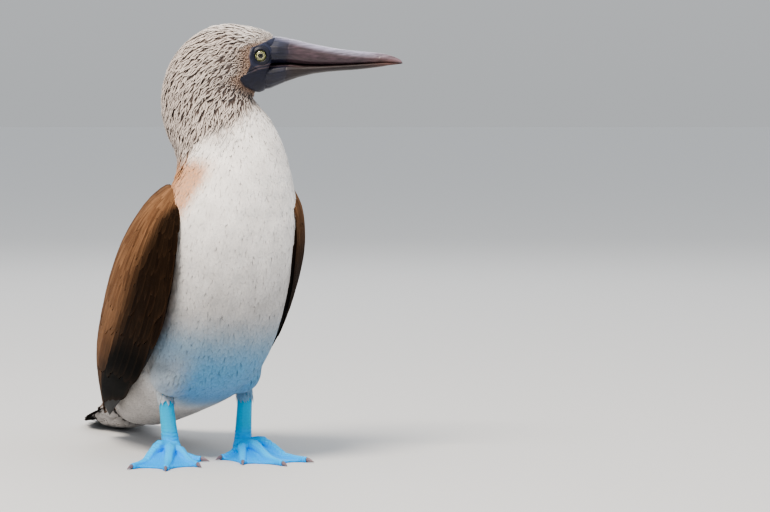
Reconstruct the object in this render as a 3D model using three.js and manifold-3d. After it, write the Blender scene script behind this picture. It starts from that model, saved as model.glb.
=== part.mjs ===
// A life-size blue-footed booby that stands on the floor with its head turned to its left.
// Millimetres, +Z up. The body faces -Y, and the bird's left side is +X.
import * as THREE from 'three';
import { mergeVertices } from 'three/addons/utils/BufferGeometryUtils.js';
import Module from 'manifold-3d';

const wasm = await Module();
wasm.setup();
const { Manifold, Mesh } = wasm;

// Driving sizes.
const TOUCH_GAP = 0.3;
const HEAD_TURN = 68;
const NECK_AXIS_Y = -28;
const EYE_RADIUS = 7.2;
const BIG = 900;

const radians = THREE.MathUtils.degToRad;
const lerp = THREE.MathUtils.lerp;
const UP = new THREE.Vector3(0, 0, 1);

// The level direction that a part faces when it is turned by yaw degrees to the bird's left.
function ahead(yaw) {
  return new THREE.Vector3(Math.sin(radians(yaw)), -Math.cos(radians(yaw)), 0);
}

// The level direction to the left of one that faces ahead(yaw).
function leftOf(yaw) {
  return new THREE.Vector3(Math.cos(radians(yaw)), Math.sin(radians(yaw)), 0);
}

// A closed solid made from a three.js geometry, with its faces turned outwards.
function solid(geometry) {
  const bare = geometry.clone();
  bare.deleteAttribute('normal');
  bare.deleteAttribute('uv');
  const merged = mergeVertices(bare, 1e-4);
  const triVerts = new Uint32Array(merged.index.array);
  const vertProperties = merged.attributes.position.array;
  const made = new Manifold(new Mesh({ numProp: 3, vertProperties, triVerts }));
  if (made.volume() > 0) {
    return made;
  }
  for (let i = 0; i < triVerts.length; i += 3) {
    [triVerts[i + 1], triVerts[i + 2]] = [triVerts[i + 2], triVerts[i + 1]];
  }
  return new Manifold(new Mesh({ numProp: 3, vertProperties, triVerts }));
}

// The three.js geometry of a solid, in flat-shaded triangles.
function geometryOf(made) {
  const mesh = made.getMesh();
  const geometry = new THREE.BufferGeometry();
  geometry.setAttribute('position', new THREE.BufferAttribute(mesh.vertProperties, 3));
  geometry.setIndex(new THREE.BufferAttribute(mesh.triVerts, 1));
  return geometry;
}

// The same solid with its skin moved outwards by a distance.
function grown(made, distance) {
  const geometry = geometryOf(made);
  geometry.computeVertexNormals();
  const { position, normal } = geometry.attributes;
  const point = new THREE.Vector3();
  const out = new THREE.Vector3();
  for (let i = 0; i < position.count; i += 1) {
    point.fromBufferAttribute(position, i);
    out.fromBufferAttribute(normal, i);
    point.addScaledVector(out, distance);
    position.setXYZ(i, point.x, point.y, point.z);
  }
  return solid(geometry);
}

function joined(pieces) {
  return Manifold.union(pieces);
}

// The largest closed body of a solid, which drops any loose scrap.
function largest(made) {
  const bodies = made.decompose();
  bodies.sort((a, b) => b.volume() - a.volume());
  return bodies[0];
}

// A closed tube whose skin is given by point(t, angle, share): t runs along it, and share from axis to skin.
function loft(point, sides, rings) {
  const geometry = new THREE.CylinderGeometry(1, 1, 1, sides, rings);
  const { position } = geometry.attributes;
  for (let i = 0; i < position.count; i += 1) {
    const x = position.getX(i);
    const z = position.getZ(i);
    const share = Math.min(1, Math.hypot(x, z));
    const moved = point(0.5 - position.getY(i), Math.atan2(x, z), share);
    position.setXYZ(i, moved.x, moved.y, moved.z);
  }
  return solid(geometry);
}

// A closed thin plate between two faces given by face(u, v, side): side is +1 outside and -1 inside.
// Both faces are split into the same triangles.
function plate(face, across, along) {
  const top = new THREE.PlaneGeometry(1, 1, across, along);
  const grid = top.attributes.position;
  const count = grid.count;
  const places = new Float32Array(count * 6);
  for (let i = 0; i < count; i += 1) {
    const u = grid.getX(i) + 0.5;
    const v = grid.getY(i) + 0.5;
    face(u, v, 1).toArray(places, i * 3);
    face(u, v, -1).toArray(places, (count + i) * 3);
  }
  const outer = Array.from(top.index.array);
  const faces = [...outer];
  for (let i = 0; i < outer.length; i += 3) {
    faces.push(outer[i] + count, outer[i + 2] + count, outer[i + 1] + count);
  }
  const columns = across + 1;
  const rim = [];
  for (let i = 0; i < across; i += 1) rim.push(i);
  for (let j = 0; j < along; j += 1) rim.push(j * columns + across);
  for (let i = across; i > 0; i -= 1) rim.push(along * columns + i);
  for (let j = along; j > 0; j -= 1) rim.push(j * columns);
  rim.forEach((here, n) => {
    const next = rim[(n + 1) % rim.length];
    faces.push(here, next, here + count);
    faces.push(next, next + count, here + count);
  });
  const geometry = new THREE.BufferGeometry();
  geometry.setAttribute('position', new THREE.BufferAttribute(places, 3));
  geometry.setIndex(faces);
  return solid(geometry);
}

function ellipsoid(centre, radii, around = 20, rows = 12) {
  const geometry = new THREE.SphereGeometry(1, around, rows);
  geometry.scale(...radii);
  geometry.translate(...centre);
  return solid(geometry);
}

// A wall of the touching gap's thickness across the plane through a point with a normal.
function thinCut(through, normal) {
  const geometry = new THREE.BoxGeometry(BIG, BIG, TOUCH_GAP);
  const turn = new THREE.Quaternion().setFromUnitVectors(UP, normal.clone().normalize());
  geometry.applyQuaternion(turn);
  geometry.translate(...through);
  return solid(geometry);
}

// The half of space above the floor.
function aboveFloor() {
  const geometry = new THREE.BoxGeometry(BIG, BIG, BIG);
  geometry.translate(0, 0, BIG / 2);
  return solid(geometry);
}

// A seeded random draw, so that the feathers differ a little and are the same each time.
let seed = 20417;
function draw(low, high) {
  seed = (seed * 1664525 + 1013904223) % 4294967296;
  return lerp(low, high, seed / 4294967296);
}

const signedPower = (value, power) => Math.sign(value) * Math.abs(value) ** power;

// The skin between a lower or front rail and an upper or back rail. Each station gives yaw, the two
// rails as [distance ahead of the neck's axis, height], and half the width; wider low if skew < 0.
function railSkin(stations, { square = 2, skew = 0 } = {}) {
  const frontCurve = new THREE.CatmullRomCurve3(
    stations.map((s) => new THREE.Vector3(s.front[0], s.front[1], s.yaw)),
  );
  const backCurve = new THREE.CatmullRomCurve3(
    stations.map((s) => new THREE.Vector3(s.back[0], s.back[1], s.wide)),
  );
  return (t, angle, share) => {
    const front = frontCurve.getPoint(t);
    const back = backCurve.getPoint(t);
    const facing = ahead(front.z);
    const place = (along, height) => new THREE.Vector3(0, NECK_AXIS_Y, height)
      .addScaledVector(facing, along);
    const low = place(front.x, front.y);
    const high = place(back.x, back.y);
    const centre = low.clone().lerp(high, 0.5);
    const rise = signedPower(Math.cos(angle), 2 / square) * share;
    const side = signedPower(Math.sin(angle), 2 / square) * share * (1 + skew * Math.cos(angle));
    return centre
      .addScaledVector(high.sub(low), rise / 2)
      .addScaledVector(leftOf(front.z), side * back.z);
  };
}

// Body, neck and head as one skin, from the tail's root to the bill's root.
const BODY_STATIONS = [
  { yaw: 0, front: [-213, 10], back: [-240, 46], wide: 24 },
  { yaw: 0, front: [-178, 13], back: [-226, 62], wide: 31 },
  { yaw: 0, front: [-138, 21], back: [-204, 82], wide: 39 },
  { yaw: 0, front: [-92, 32], back: [-178, 104], wide: 46 },
  { yaw: 0, front: [-40, 45], back: [-150, 130], wide: 51 },
  { yaw: 0, front: [6, 62], back: [-118, 159], wide: 54 },
  { yaw: 0, front: [36, 90], back: [-84, 186], wide: 56 },
  { yaw: 2, front: [54, 124], back: [-54, 209], wide: 57 },
  { yaw: 5, front: [63, 162], back: [-32, 226], wide: 58 },
  { yaw: 12, front: [67, 198], back: [-22, 239], wide: 56 },
  { yaw: 26, front: [65, 230], back: [-28, 252], wide: 49 },
  { yaw: 44, front: [59, 256], back: [-40, 267], wide: 42 },
  { yaw: 58, front: [49, 279], back: [-47, 284], wide: 36 },
  { yaw: 66, front: [38, 295], back: [-48.5, 302], wide: 31 },
  { yaw: HEAD_TURN, front: [31, 303], back: [-46, 322], wide: 28.5 },
  { yaw: HEAD_TURN, front: [29, 306], back: [-36.5, 342], wide: 27.5 },
  { yaw: HEAD_TURN, front: [29, 308], back: [-19.5, 359], wide: 26.5 },
  { yaw: HEAD_TURN, front: [30, 309], back: [1, 367.6], wide: 25.5 },
  { yaw: HEAD_TURN, front: [32, 310], back: [21, 366.6], wide: 23.5 },
  { yaw: HEAD_TURN, front: [35, 310.5], back: [37, 363], wide: 19 },
  { yaw: HEAD_TURN, front: [38.7, 311.8], back: [48.5, 357.3], wide: 14 },
];
const BODY_SIDES = 28;
const BODY_RINGS = 40;

// Upper and lower bill: the ridge, the mouth line and the lower edge at shares of the bill's length.
const BILL_SQUARE = 2.1;
const CULMEN = [[48.5, 357.3], [61.5, 354.7], [82.7, 349.7], [102.4, 346.2], [120.6, 344.3],
  [135.8, 342.9], [146.5, 340.1], [152.2, 337.2]];
const MOUTH = [[43.6, 333.2], [56.7, 334.3], [76, 332.9], [97.5, 333], [117, 334],
  [133, 334.8], [145, 335], [153.6, 334.2]];
const GONYS = [[38.7, 311.8], [52, 317.8], [72, 324.6], [92, 327.7], [113, 329.2],
  [129, 330.9], [143.4, 333], [151.5, 333.8]];
const BILL_HALF_WIDTHS = [13.6, 11.4, 9, 7, 5.4, 4.2, 3, 1.1];

function billHalf(tops, bottoms, lower) {
  const stations = tops.map((top, i) => ({
    yaw: HEAD_TURN,
    front: [bottoms[i][0] + TOUCH_GAP, bottoms[i][1] + (lower ? 0 : TOUCH_GAP / 2)],
    back: [top[0] + TOUCH_GAP, top[1] - (lower ? TOUCH_GAP / 2 : 0)],
    wide: BILL_HALF_WIDTHS[i],
  }));
  return loft(railSkin(stations, { square: BILL_SQUARE, skew: lower ? 0.25 : -0.3 }), 14, 12);
}

// A point given by its distance ahead of the neck's axis, to the left and up, in the head's own direction.
function headPoint(along, left, height) {
  return new THREE.Vector3(0, NECK_AXIS_Y, height)
    .addScaledVector(ahead(HEAD_TURN), along)
    .addScaledVector(leftOf(HEAD_TURN), left);
}

// A solid with a shallow groove in both its sides along a line of points in the head's plane.
function grooved(made, line, width, depth) {
  const kept = grown(made, -depth);
  const cuts = [];
  for (let i = 1; i < line.length; i += 1) {
    const [from, to] = [headPoint(line[i - 1][0], 0, line[i - 1][1]), headPoint(line[i][0], 0, line[i][1])];
    const along = to.clone().sub(from);
    const geometry = new THREE.BoxGeometry(along.length() + width, width, 80);
    const across = leftOf(HEAD_TURN);
    const basis = new THREE.Matrix4().makeBasis(along.clone().normalize(),
      across.clone().cross(along).normalize(), across);
    geometry.applyMatrix4(basis);
    geometry.translate(...from.lerp(to, 0.5));
    cuts.push(solid(geometry));
  }
  return largest(made.subtract(joined(cuts).subtract(kept)));
}

// The line of the mouth runs back over the face, and a nasal groove runs along each side of the bill.
const GAPE_LINE = [[46, 333.2], [33, 330.6], [22, 325]];
const NASAL_GROOVE = [[50, 349.2], [72, 346], [102, 342], [132, 340]];

const EYE_ALONG = 35.2;
const EYE_HEIGHT = 340.6;
const EYE_SIDE = 13.9;
const LID_RADIUS = 5.7;
const LID_THICK = 1.1;

function eyeball(side, radius) {
  return ellipsoid(headPoint(EYE_ALONG, EYE_SIDE * side, EYE_HEIGHT), [radius, radius, radius], 12, 8);
}

// The ring of bare skin round the eye.
function lidRing(side) {
  const geometry = new THREE.TorusGeometry(LID_RADIUS, LID_THICK, 5, 12);
  const out = leftOf(HEAD_TURN).multiplyScalar(side);
  geometry.applyQuaternion(new THREE.Quaternion().setFromUnitVectors(UP, out));
  const depth = EYE_SIDE + Math.sqrt(EYE_RADIUS ** 2 - LID_RADIUS ** 2);
  geometry.translate(...headPoint(EYE_ALONG, depth * side, EYE_HEIGHT));
  return solid(geometry);
}

// Wings: rails along the front and lower edge, the bulge and the upper edge, for the bird's right side.
const WING_LOWER = [[-44, -63, 226], [-52, -74, 200], [-55.5, -73, 165], [-58, -55, 125], [-59, -20, 91],
  [-57, 36, 61], [-50, 92, 43], [-44, 138, 28], [-40, 171, 17]];
const WING_BULGE = [[-50, -44, 236], [-84, -40, 214], [-104, -18, 184], [-107, 20, 152], [-103, 60, 120],
  [-95, 97, 92], [-80, 129, 66], [-60, 156, 42], [-42, 176, 24]];
const WING_UPPER = [[-44, -26, 236], [-46, 2, 226], [-50, 36, 201], [-50, 68, 174], [-46, 100, 147],
  [-41, 128, 120], [-36, 152, 91], [-34, 168, 60], [-36, 178, 28]];
const WING_DEPTHS = [8, 16, 22, 24, 22, 16, 10, 6, 3];
// How far the lower half of each wing is drawn in towards the body.
const WING_TUCKS = { 1: 7, '-1': 0 };
// How far the shoulder of each wing is drawn up.
const WING_RISES = { 1: 16, '-1': 0 };
const WING_CORE_END = 0.93;

// Vanes: their thickness at shaft and edge, least width, and how they stand on what they grow from.
const VANE_SHAFT = 1.3;
const VANE_EDGE = 0.75;
const VANE_TIP = 3;
const VANE_STAND = 1.6;
const VANE_SINK = 2.4;
const VANE_TILT = 0.7;

// Rows of feathers on a folded wing. Roots and tips run from the row's lowest feather to its highest,
// as [s, v] on the wing's surface, with half widths in millimetres.
const WING_ROWS = [
  { count: 7, roots: [[0.5, 0.1], [0.56, 0.5]], tips: [[0.8, 0.03], [0.995, 0.5]], width: 8.5, raise: 0.6 },
  { count: 9, roots: [[0.34, 0.1], [0.5, 0.8]], tips: [[0.63, 0.02], [0.8, 0.8]], width: 9.5, raise: 1.2 },
  { count: 5, roots: [[0.38, 0.72], [0.3, 0.93]], tips: [[0.86, 0.7], [0.76, 0.97]], width: 10, raise: 1.8 },
  { count: 8, roots: [[0.22, 0.08], [0.3, 0.84]], tips: [[0.44, 0.02], [0.6, 0.86]], width: 9, raise: 1.6 },
  { count: 7, roots: [[0.12, 0.1], [0.14, 0.84]], tips: [[0.3, 0.03], [0.42, 0.88]], width: 10, raise: 1.6 },
  { count: 5, roots: [[0.03, 0.16], [0.02, 0.84]], tips: [[0.18, 0.06], [0.25, 0.9]], width: 10, raise: 1.6 },
];

// The wing's outer surface: s runs from shoulder to tip, and v from the lower edge to the upper.
function wingSurface(side) {
  const rail = (points) => new THREE.CatmullRomCurve3(points.map((p) => new THREE.Vector3(...p)));
  const lower = rail(WING_LOWER);
  const bulge = rail(WING_BULGE);
  const upper = rail(WING_UPPER);
  const place = (s, v) => {
    const tuck = WING_TUCKS[side] * Math.sin(Math.PI * THREE.MathUtils.clamp(s * 1.15 - 0.15, 0, 1));
    const here = lower.getPoint(s).multiplyScalar((1 - v) ** 2)
      .addScaledVector(bulge.getPoint(s), 2 * v * (1 - v))
      .addScaledVector(upper.getPoint(s), v * v);
    here.x = side * (-here.x - tuck);
    here.z += tuck * 0.8 * (1 - v) + WING_RISES[side] * Math.max(0, 1 - s / 0.45) ** 2;
    return here;
  };
  return (s, v) => {
    const step = 0.01;
    const low = Math.min(Math.max(s, step), 1 - step);
    const alongWing = place(low + step, v).sub(place(low - step, v));
    const acrossWing = place(low, v + step).sub(place(low, v - step));
    const chord = acrossWing.length() / (2 * step);
    const out = alongWing.cross(acrossWing).normalize();
    if (out.x * side < 0) out.negate();
    return { point: place(s, v), out, chord };
  };
}

// How deep the fleshy wing is under a place on its surface: thick at the shoulder and thin at the tip.
const depthCurve = new THREE.SplineCurve(WING_DEPTHS.map((d, i) => new THREE.Vector2(i, d)));
function coreDepth(s, v) {
  if (s > WING_CORE_END || v < 0 || v > 1) return 0;
  return depthCurve.getPoint(s / WING_CORE_END).y * (0.12 + 0.88 * Math.sin(Math.PI * v) ** 0.5);
}

function wingCore(surface) {
  return plate((u, v, face) => {
    const { point, out } = surface(v * WING_CORE_END, u);
    return point.addScaledVector(out, -VANE_STAND - (face > 0 ? 0 : coreDepth(v * WING_CORE_END, u)));
  }, 6, 14);
}

// One feather's vane on the wing, from its sunk root to its rounded tip, raised along its lower edge.
// Its underside is buried wherever flesh lies below it.
function wingVane(surface, root, tip, width, raise) {
  return plate((u, v, face) => {
    const s = lerp(root[0], tip[0], v);
    const middle = lerp(root[1], tip[1], v);
    const { chord } = surface(s, middle);
    const aside = (u - 0.5) * 2;
    const round = Math.sqrt(Math.max(0, 1 - Math.max(0, (v - 0.6) / 0.42) ** 2));
    const half = Math.max(VANE_TIP / 2, width * round * (0.8 + 0.2 * Math.min(1, v * 3)));
    const across = middle + (aside * half) / chord;
    const { point, out } = surface(s, across);
    const sunk = VANE_SINK * (1 - Math.min(1, v / 0.3)) ** 2;
    const lift = raise * v - VANE_STAND - aside * VANE_TILT - sunk;
    const thick = lerp(VANE_EDGE, VANE_SHAFT, 1 - Math.abs(aside));
    const flesh = coreDepth(s + 0.03, across);
    const under = flesh > 3 ? -VANE_STAND - flesh / 2 : lift;
    return point.addScaledVector(out, face > 0 ? lift + thick : under);
  }, 2, 3);
}

function wing(side, bodyClear) {
  const surface = wingSurface(side);
  const pieces = [wingCore(surface)];
  for (const row of WING_ROWS) {
    for (let i = 0; i < row.count; i += 1) {
      const share = i / (row.count - 1);
      const mix = (from, to) => from.map((value, n) => lerp(value, to[n], share));
      const root = mix(row.roots[0], row.roots[1]);
      const tip = mix(row.tips[0], row.tips[1]);
      tip[0] = Math.min(0.995, tip[0] + draw(-0.008, 0.008));
      tip[1] += draw(-0.012, 0.012);
      pieces.push(wingVane(surface, root, tip, row.width * draw(0.92, 1.06), row.raise));
    }
  }
  return largest(joined(pieces).subtract(bodyClear));
}

// Tail: a core of coverts and a wedge of feathers laid down to the floor.
const TAIL_CORE = [
  { yaw: 0, front: [-213.5, 10], back: [-240.5, 46], wide: 23.5 },
  { yaw: 0, front: [-240, 5], back: [-262, 38], wide: 26 },
  { yaw: 0, front: [-272, 1], back: [-284, 26], wide: 25 },
  { yaw: 0, front: [-300, 0], back: [-302, 13], wide: 20 },
  { yaw: 0, front: [-322, 0.2], back: [-322, 4], wide: 9 },
];
const TAIL_PAIRS = 7;
const TAIL_LENGTH = 132;
const TAIL_STEP = 11;
const TAIL_FAN = 2.8;
const TAIL_ROOT_Y = 196;
const TAIL_ROOT_Z = 33;
const TAIL_TIP_Z = 0.2;
const TAIL_VANE_WIDTH = 8.5;

// A tail feather's vane: pair 0 is the middle pair, the longest and uppermost.
function tailVane(side, pair) {
  const fan = radians(side * (pair + 0.5) * TAIL_FAN + draw(-0.5, 0.5));
  const length = TAIL_LENGTH - TAIL_STEP * pair + draw(-2, 2);
  const along = new THREE.Vector3(Math.sin(fan), Math.cos(fan), 0);
  const across = new THREE.Vector3(Math.cos(fan), -Math.sin(fan), 0);
  return plate((u, v, face) => {
    const aside = (u - 0.5) * 2;
    const half = Math.max(VANE_TIP / 2, TAIL_VANE_WIDTH * (1 - Math.max(0, (v - 0.55) / 0.45) ** 1.7));
    const down = (1 - (v * length) / TAIL_LENGTH) ** 1.6;
    const level = lerp(TAIL_TIP_Z, TAIL_ROOT_Z, down) + (TAIL_PAIRS - 1 - pair) * 0.9 * (1 - v * v);
    const thick = lerp(VANE_EDGE, VANE_SHAFT, 1 - Math.abs(aside));
    const tilt = -side * aside * VANE_TILT * 0.7 * (1 - v);
    return new THREE.Vector3(side * (2 + pair * 1.5), TAIL_ROOT_Y, level + tilt + (face > 0 ? thick : 0))
      .addScaledVector(along, length * v)
      .addScaledVector(across, aside * half);
  }, 2, 5);
}

function tail(torsoClear) {
  const pieces = [loft(railSkin(TAIL_CORE), 14, 7)];
  for (let pair = 0; pair < TAIL_PAIRS; pair += 1) {
    pieces.push(tailVane(1, pair), tailVane(-1, pair));
  }
  return largest(joined(pieces).subtract(torsoClear).intersect(aboveFloor()));
}

// Legs and feet.
const ANKLES = { 1: [29, -3], '-1': [-34, -3] };
const LEG_TOPS = { 1: [35.5, 6, 70], '-1': [-38.5, 6, 70] };
const FOOT_YAWS = { left: 8, right: -22 };
const ANKLE_CUT_Z = 17;
const TOES = [
  { name: 'outer', angle: 25, length: 68, arch: 9, root: 5.2 },
  { name: 'middle', angle: 0, length: 73, arch: 6, root: 5.4 },
  { name: 'inner', angle: -27, length: 54, arch: 4, root: 5 },
  { name: 'back', angle: -68, length: 27, arch: 1, root: 4.2 },
];
const TOE_TIP_RADIUS = 2.6;
const CLAW_LENGTH = 7.5;
const WEB_THICK = 1.6;

function toeLine(toe, side, yaw) {
  const facing = ahead(yaw + toe.angle * side);
  const root = new THREE.Vector3(...ANKLES[side], 0);
  return (t) => {
    const radius = lerp(toe.root, TOE_TIP_RADIUS, t);
    const knuckle = toe.arch * Math.max(0, Math.sin(Math.PI * Math.min(1, t * 1.5)));
    const height = radius - 0.6 + 6 * (1 - t) ** 3 + knuckle;
    return root.clone().addScaledVector(facing, toe.length * t).setZ(height);
  };
}

function toeTube(toe, side, yaw) {
  const line = toeLine(toe, side, yaw);
  const leftward = leftOf(yaw + toe.angle * side);
  return loft((t, angle, share) => {
    const swell = 1 + 0.1 * Math.cos(2 * Math.PI * 3 * t);
    const radius = lerp(toe.root, TOE_TIP_RADIUS, t) * swell * share;
    return line(t)
      .addScaledVector(leftward, radius * Math.sin(angle))
      .addScaledVector(UP, radius * Math.cos(angle));
  }, 7, 6);
}

function tarsusTube(side) {
  const bottom = new THREE.Vector3(...ANKLES[side], 5);
  const top = new THREE.Vector3(...LEG_TOPS[side]);
  return loft((t, angle, share) => {
    const radius = (6.1 + 2.2 * (1 - t) ** 3) * share;
    return bottom.clone().lerp(top, t)
      .addScaledVector(new THREE.Vector3(1, 0, 0), radius * Math.sin(angle))
      .addScaledVector(new THREE.Vector3(0, -1, 0), radius * 1.05 * Math.cos(angle));
  }, 12, 6);
}

function web(toeA, toeB, side, yaw) {
  const a = toeLine(toeA, side, yaw);
  const b = toeLine(toeB, side, yaw);
  return plate((u, v, face) => {
    const reach = (0.08 + 0.88 * v) * (1 - 0.13 * v * Math.sin(Math.PI * u));
    const point = a(reach).lerp(b(reach), u);
    const floorward = 0.25 * Math.sin(Math.PI * u);
    point.z = Math.max(WEB_THICK / 2 - 0.3, point.z * (1 - floorward) - 1);
    point.z += face * WEB_THICK / 2;
    return point;
  }, 3, 5);
}

// A foot with its ankle, and the tarsus above it, made whole and parted by a thin level cut.
function leg(side, yaw, torsoClear) {
  const pieces = TOES.map((toe) => toeTube(toe, side, yaw));
  for (let i = 0; i < TOES.length - 1; i += 1) {
    pieces.push(web(TOES[i], TOES[i + 1], side, yaw));
  }
  pieces.push(ellipsoid([...ANKLES[side], 9], [8.4, 8.8, 10], 10, 6));
  pieces.push(tarsusTube(side));
  const [footMade, tarsusMade] = joined(pieces)
    .intersect(aboveFloor())
    .subtract(thinCut([0, 0, ANKLE_CUT_Z], UP))
    .decompose()
    .filter((piece) => piece.volume() > 500)
    .sort((one, other) => one.boundingBox().min[2] - other.boundingBox().min[2]);
  return { footMade, tarsusMade: largest(tarsusMade.subtract(torsoClear)) };
}

function claw(toe, side, yaw) {
  const facing = ahead(yaw + toe.angle * side);
  const leftward = leftOf(yaw + toe.angle * side);
  const start = toeLine(toe, side, yaw)(1).addScaledVector(facing, TOUCH_GAP);
  return loft((t, angle, share) => {
    const radius = lerp(2.1, 0.35, t) * share;
    return start.clone()
      .addScaledVector(facing, CLAW_LENGTH * t)
      .addScaledVector(leftward, radius * Math.sin(angle) * 0.8)
      .addScaledVector(UP, radius * Math.cos(angle) + 0.4 - 1.6 * t * t);
  }, 6, 3);
}

// Thighs of short feathers swell from the belly round each leg.
const thighs = [[28, 4, 75], [-32, 4, 74]].map((centre) => ellipsoid(centre, [18.5, 32, 22], 16, 8));

const wholeBody = joined([
  loft(railSkin(BODY_STATIONS, { square: 2.15, skew: -0.06 }), BODY_SIDES, BODY_RINGS),
  ...thighs,
]);

const NECK_CUT = { through: [0, -30, 238], normal: new THREE.Vector3(0.1, -0.42, 1) };
const HEAD_CUT = {
  through: headPoint(0, 0, 303).toArray(),
  normal: ahead(HEAD_TURN).multiplyScalar(0.12).add(UP),
};
const parted = wholeBody
  .subtract(thinCut(NECK_CUT.through, NECK_CUT.normal))
  .subtract(thinCut(HEAD_CUT.through, HEAD_CUT.normal))
  .decompose()
  .sort((a, b) => a.boundingBox().min[2] - b.boundingBox().min[2]);
const [torso, neck, plainHead] = parted;

let head = joined([plainHead, lidRing(1), lidRing(-1)]);
for (const side of [1, -1]) {
  head = head.subtract(eyeball(side, EYE_RADIUS + TOUCH_GAP));
}
head = grooved(largest(head), GAPE_LINE, 0.8, 1.2);

const bodyClear = grown(wholeBody, TOUCH_GAP);
const torsoClear = grown(torso, TOUCH_GAP);

const materials = {
  white_feather: new THREE.MeshStandardMaterial({ color: 0xe6e2de, roughness: 0.9 }),
  streaked_feather: new THREE.MeshStandardMaterial({ color: 0xb3a596, roughness: 0.9 }),
  brown_feather: new THREE.MeshStandardMaterial({ color: 0x4a2f1f, roughness: 0.75 }),
  tail_feather: new THREE.MeshStandardMaterial({ color: 0x2a1f1a, roughness: 0.75 }),
  bill_horn: new THREE.MeshStandardMaterial({ color: 0x51474c, roughness: 0.4 }),
  eye: new THREE.MeshStandardMaterial({ color: 0xd8d79a, roughness: 0.1 }),
  blue_leg: new THREE.MeshStandardMaterial({ color: 0x4fb6d6, roughness: 0.5 }),
  blue_foot: new THREE.MeshStandardMaterial({ color: 0x2ea0e8, roughness: 0.5 }),
  claw_horn: new THREE.MeshStandardMaterial({ color: 0x8b97a3, roughness: 0.4 }),
};

const bird = new THREE.Group();

function addNode(name, made, material) {
  const mesh = new THREE.Mesh(geometryOf(made), materials[material]);
  mesh.name = name;
  bird.add(mesh);
}

addNode('torso', torso, 'white_feather');
addNode('neck', neck, 'streaked_feather');
addNode('head', head, 'streaked_feather');
addNode('bill_upper', grooved(billHalf(CULMEN, MOUTH, false), NASAL_GROOVE, 0.7, 0.5), 'bill_horn');
addNode('bill_lower', billHalf(MOUTH, GONYS, true), 'bill_horn');
addNode('tail', tail(torsoClear), 'tail_feather');
for (const [name, side] of [['left', 1], ['right', -1]]) {
  const yaw = FOOT_YAWS[name];
  const { footMade, tarsusMade } = leg(side, yaw, torsoClear);
  addNode(`eye_${name}`, eyeball(side, EYE_RADIUS), 'eye');
  addNode(`wing_${name}`, wing(side, bodyClear), 'brown_feather');
  addNode(`tarsus_${name}`, tarsusMade, 'blue_leg');
  addNode(`foot_${name}`, footMade, 'blue_foot');
  for (const toe of TOES) {
    addNode(`claw_${name}_${toe.name}`, claw(toe, side, yaw), 'claw_horn');
  }
}

// The origin goes to the middle of the bird's footprint, on the floor.
const box = new THREE.Box3().setFromObject(bird);
bird.position.set(-(box.min.x + box.max.x) / 2, -(box.min.y + box.max.y) / 2, -box.min.z);

export default bird;
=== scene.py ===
# %% [markdown]
# # A blue-footed booby, life size
#
# The real bird is a body of flesh under overlapping feathers, with a horny bill, bare slate-blue
# skin on the face, and bright blue scaled feet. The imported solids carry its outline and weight.
# This script dresses them: one skin under the coat, thousands of small closed vanes that follow
# the lie of the plumage, flight feathers in tiers, and finer bill, eyes, legs and feet.

# %% Load the frame
import math

import bmesh
import bpy
import numpy as np
from mathutils import Matrix, Vector
from mathutils.bvhtree import BVHTree
from mathutils.kdtree import KDTree


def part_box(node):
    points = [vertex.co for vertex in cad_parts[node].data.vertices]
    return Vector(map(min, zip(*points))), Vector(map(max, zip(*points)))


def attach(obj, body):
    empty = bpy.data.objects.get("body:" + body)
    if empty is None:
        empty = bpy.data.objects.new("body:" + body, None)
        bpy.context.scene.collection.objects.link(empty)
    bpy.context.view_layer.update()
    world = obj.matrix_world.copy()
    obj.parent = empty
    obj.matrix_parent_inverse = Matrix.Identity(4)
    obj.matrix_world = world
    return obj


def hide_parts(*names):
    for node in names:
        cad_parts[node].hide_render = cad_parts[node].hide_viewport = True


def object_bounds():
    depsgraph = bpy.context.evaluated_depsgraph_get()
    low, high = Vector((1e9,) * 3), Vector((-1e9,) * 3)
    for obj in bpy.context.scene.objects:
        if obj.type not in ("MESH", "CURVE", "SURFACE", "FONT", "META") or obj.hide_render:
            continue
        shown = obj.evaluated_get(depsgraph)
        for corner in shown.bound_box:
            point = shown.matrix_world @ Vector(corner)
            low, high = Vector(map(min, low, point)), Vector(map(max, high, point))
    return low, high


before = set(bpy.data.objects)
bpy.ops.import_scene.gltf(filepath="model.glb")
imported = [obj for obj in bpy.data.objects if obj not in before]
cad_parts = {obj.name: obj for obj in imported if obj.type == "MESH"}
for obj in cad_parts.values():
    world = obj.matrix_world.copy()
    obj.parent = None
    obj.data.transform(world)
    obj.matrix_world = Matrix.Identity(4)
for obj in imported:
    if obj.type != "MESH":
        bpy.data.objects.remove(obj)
cad_low, cad_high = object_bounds()
MM = 0.001
rng = np.random.default_rng(20417)
print("CAD box in mm:", [round(v / MM, 1) for v in (*cad_low, *cad_high)])

# %% [markdown]
# ## Where things are on the bird
#
# The head is turned well to the bird's left, so it has directions of its own: ahead along the
# bill, left, and up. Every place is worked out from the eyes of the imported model, which keeps
# the dressing on the solids if they move.

# %% Directions and places
HEAD_TURN = math.radians(68)
EYE_ALONG, EYE_HEIGHT = 35.2, 340.6
NECK_AXIS_Y = -28.0
AHEAD = np.array([math.sin(HEAD_TURN), -math.cos(HEAD_TURN), 0.0])
LEFTWARD = np.array([math.cos(HEAD_TURN), math.sin(HEAD_TURN), 0.0])
UP = np.array([0.0, 0.0, 1.0])
SIDES = {"left": 1, "right": -1}


def centre_of(node):
    """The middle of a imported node's box, in metres."""
    low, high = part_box(node)
    return np.array((low + high) / 2)


eye_middle = (centre_of("eye_left") + centre_of("eye_right")) / 2
neck_axis = eye_middle * (1, 1, 0) - AHEAD * EYE_ALONG * MM
floor_origin = neck_axis - np.array([0.0, NECK_AXIS_Y * MM, 0.0])


def bird_mm(points):
    """Points in millimetres from the floor between the feet: x left, y back, z up."""
    return (np.asarray(points, float) - floor_origin) / MM


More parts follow.
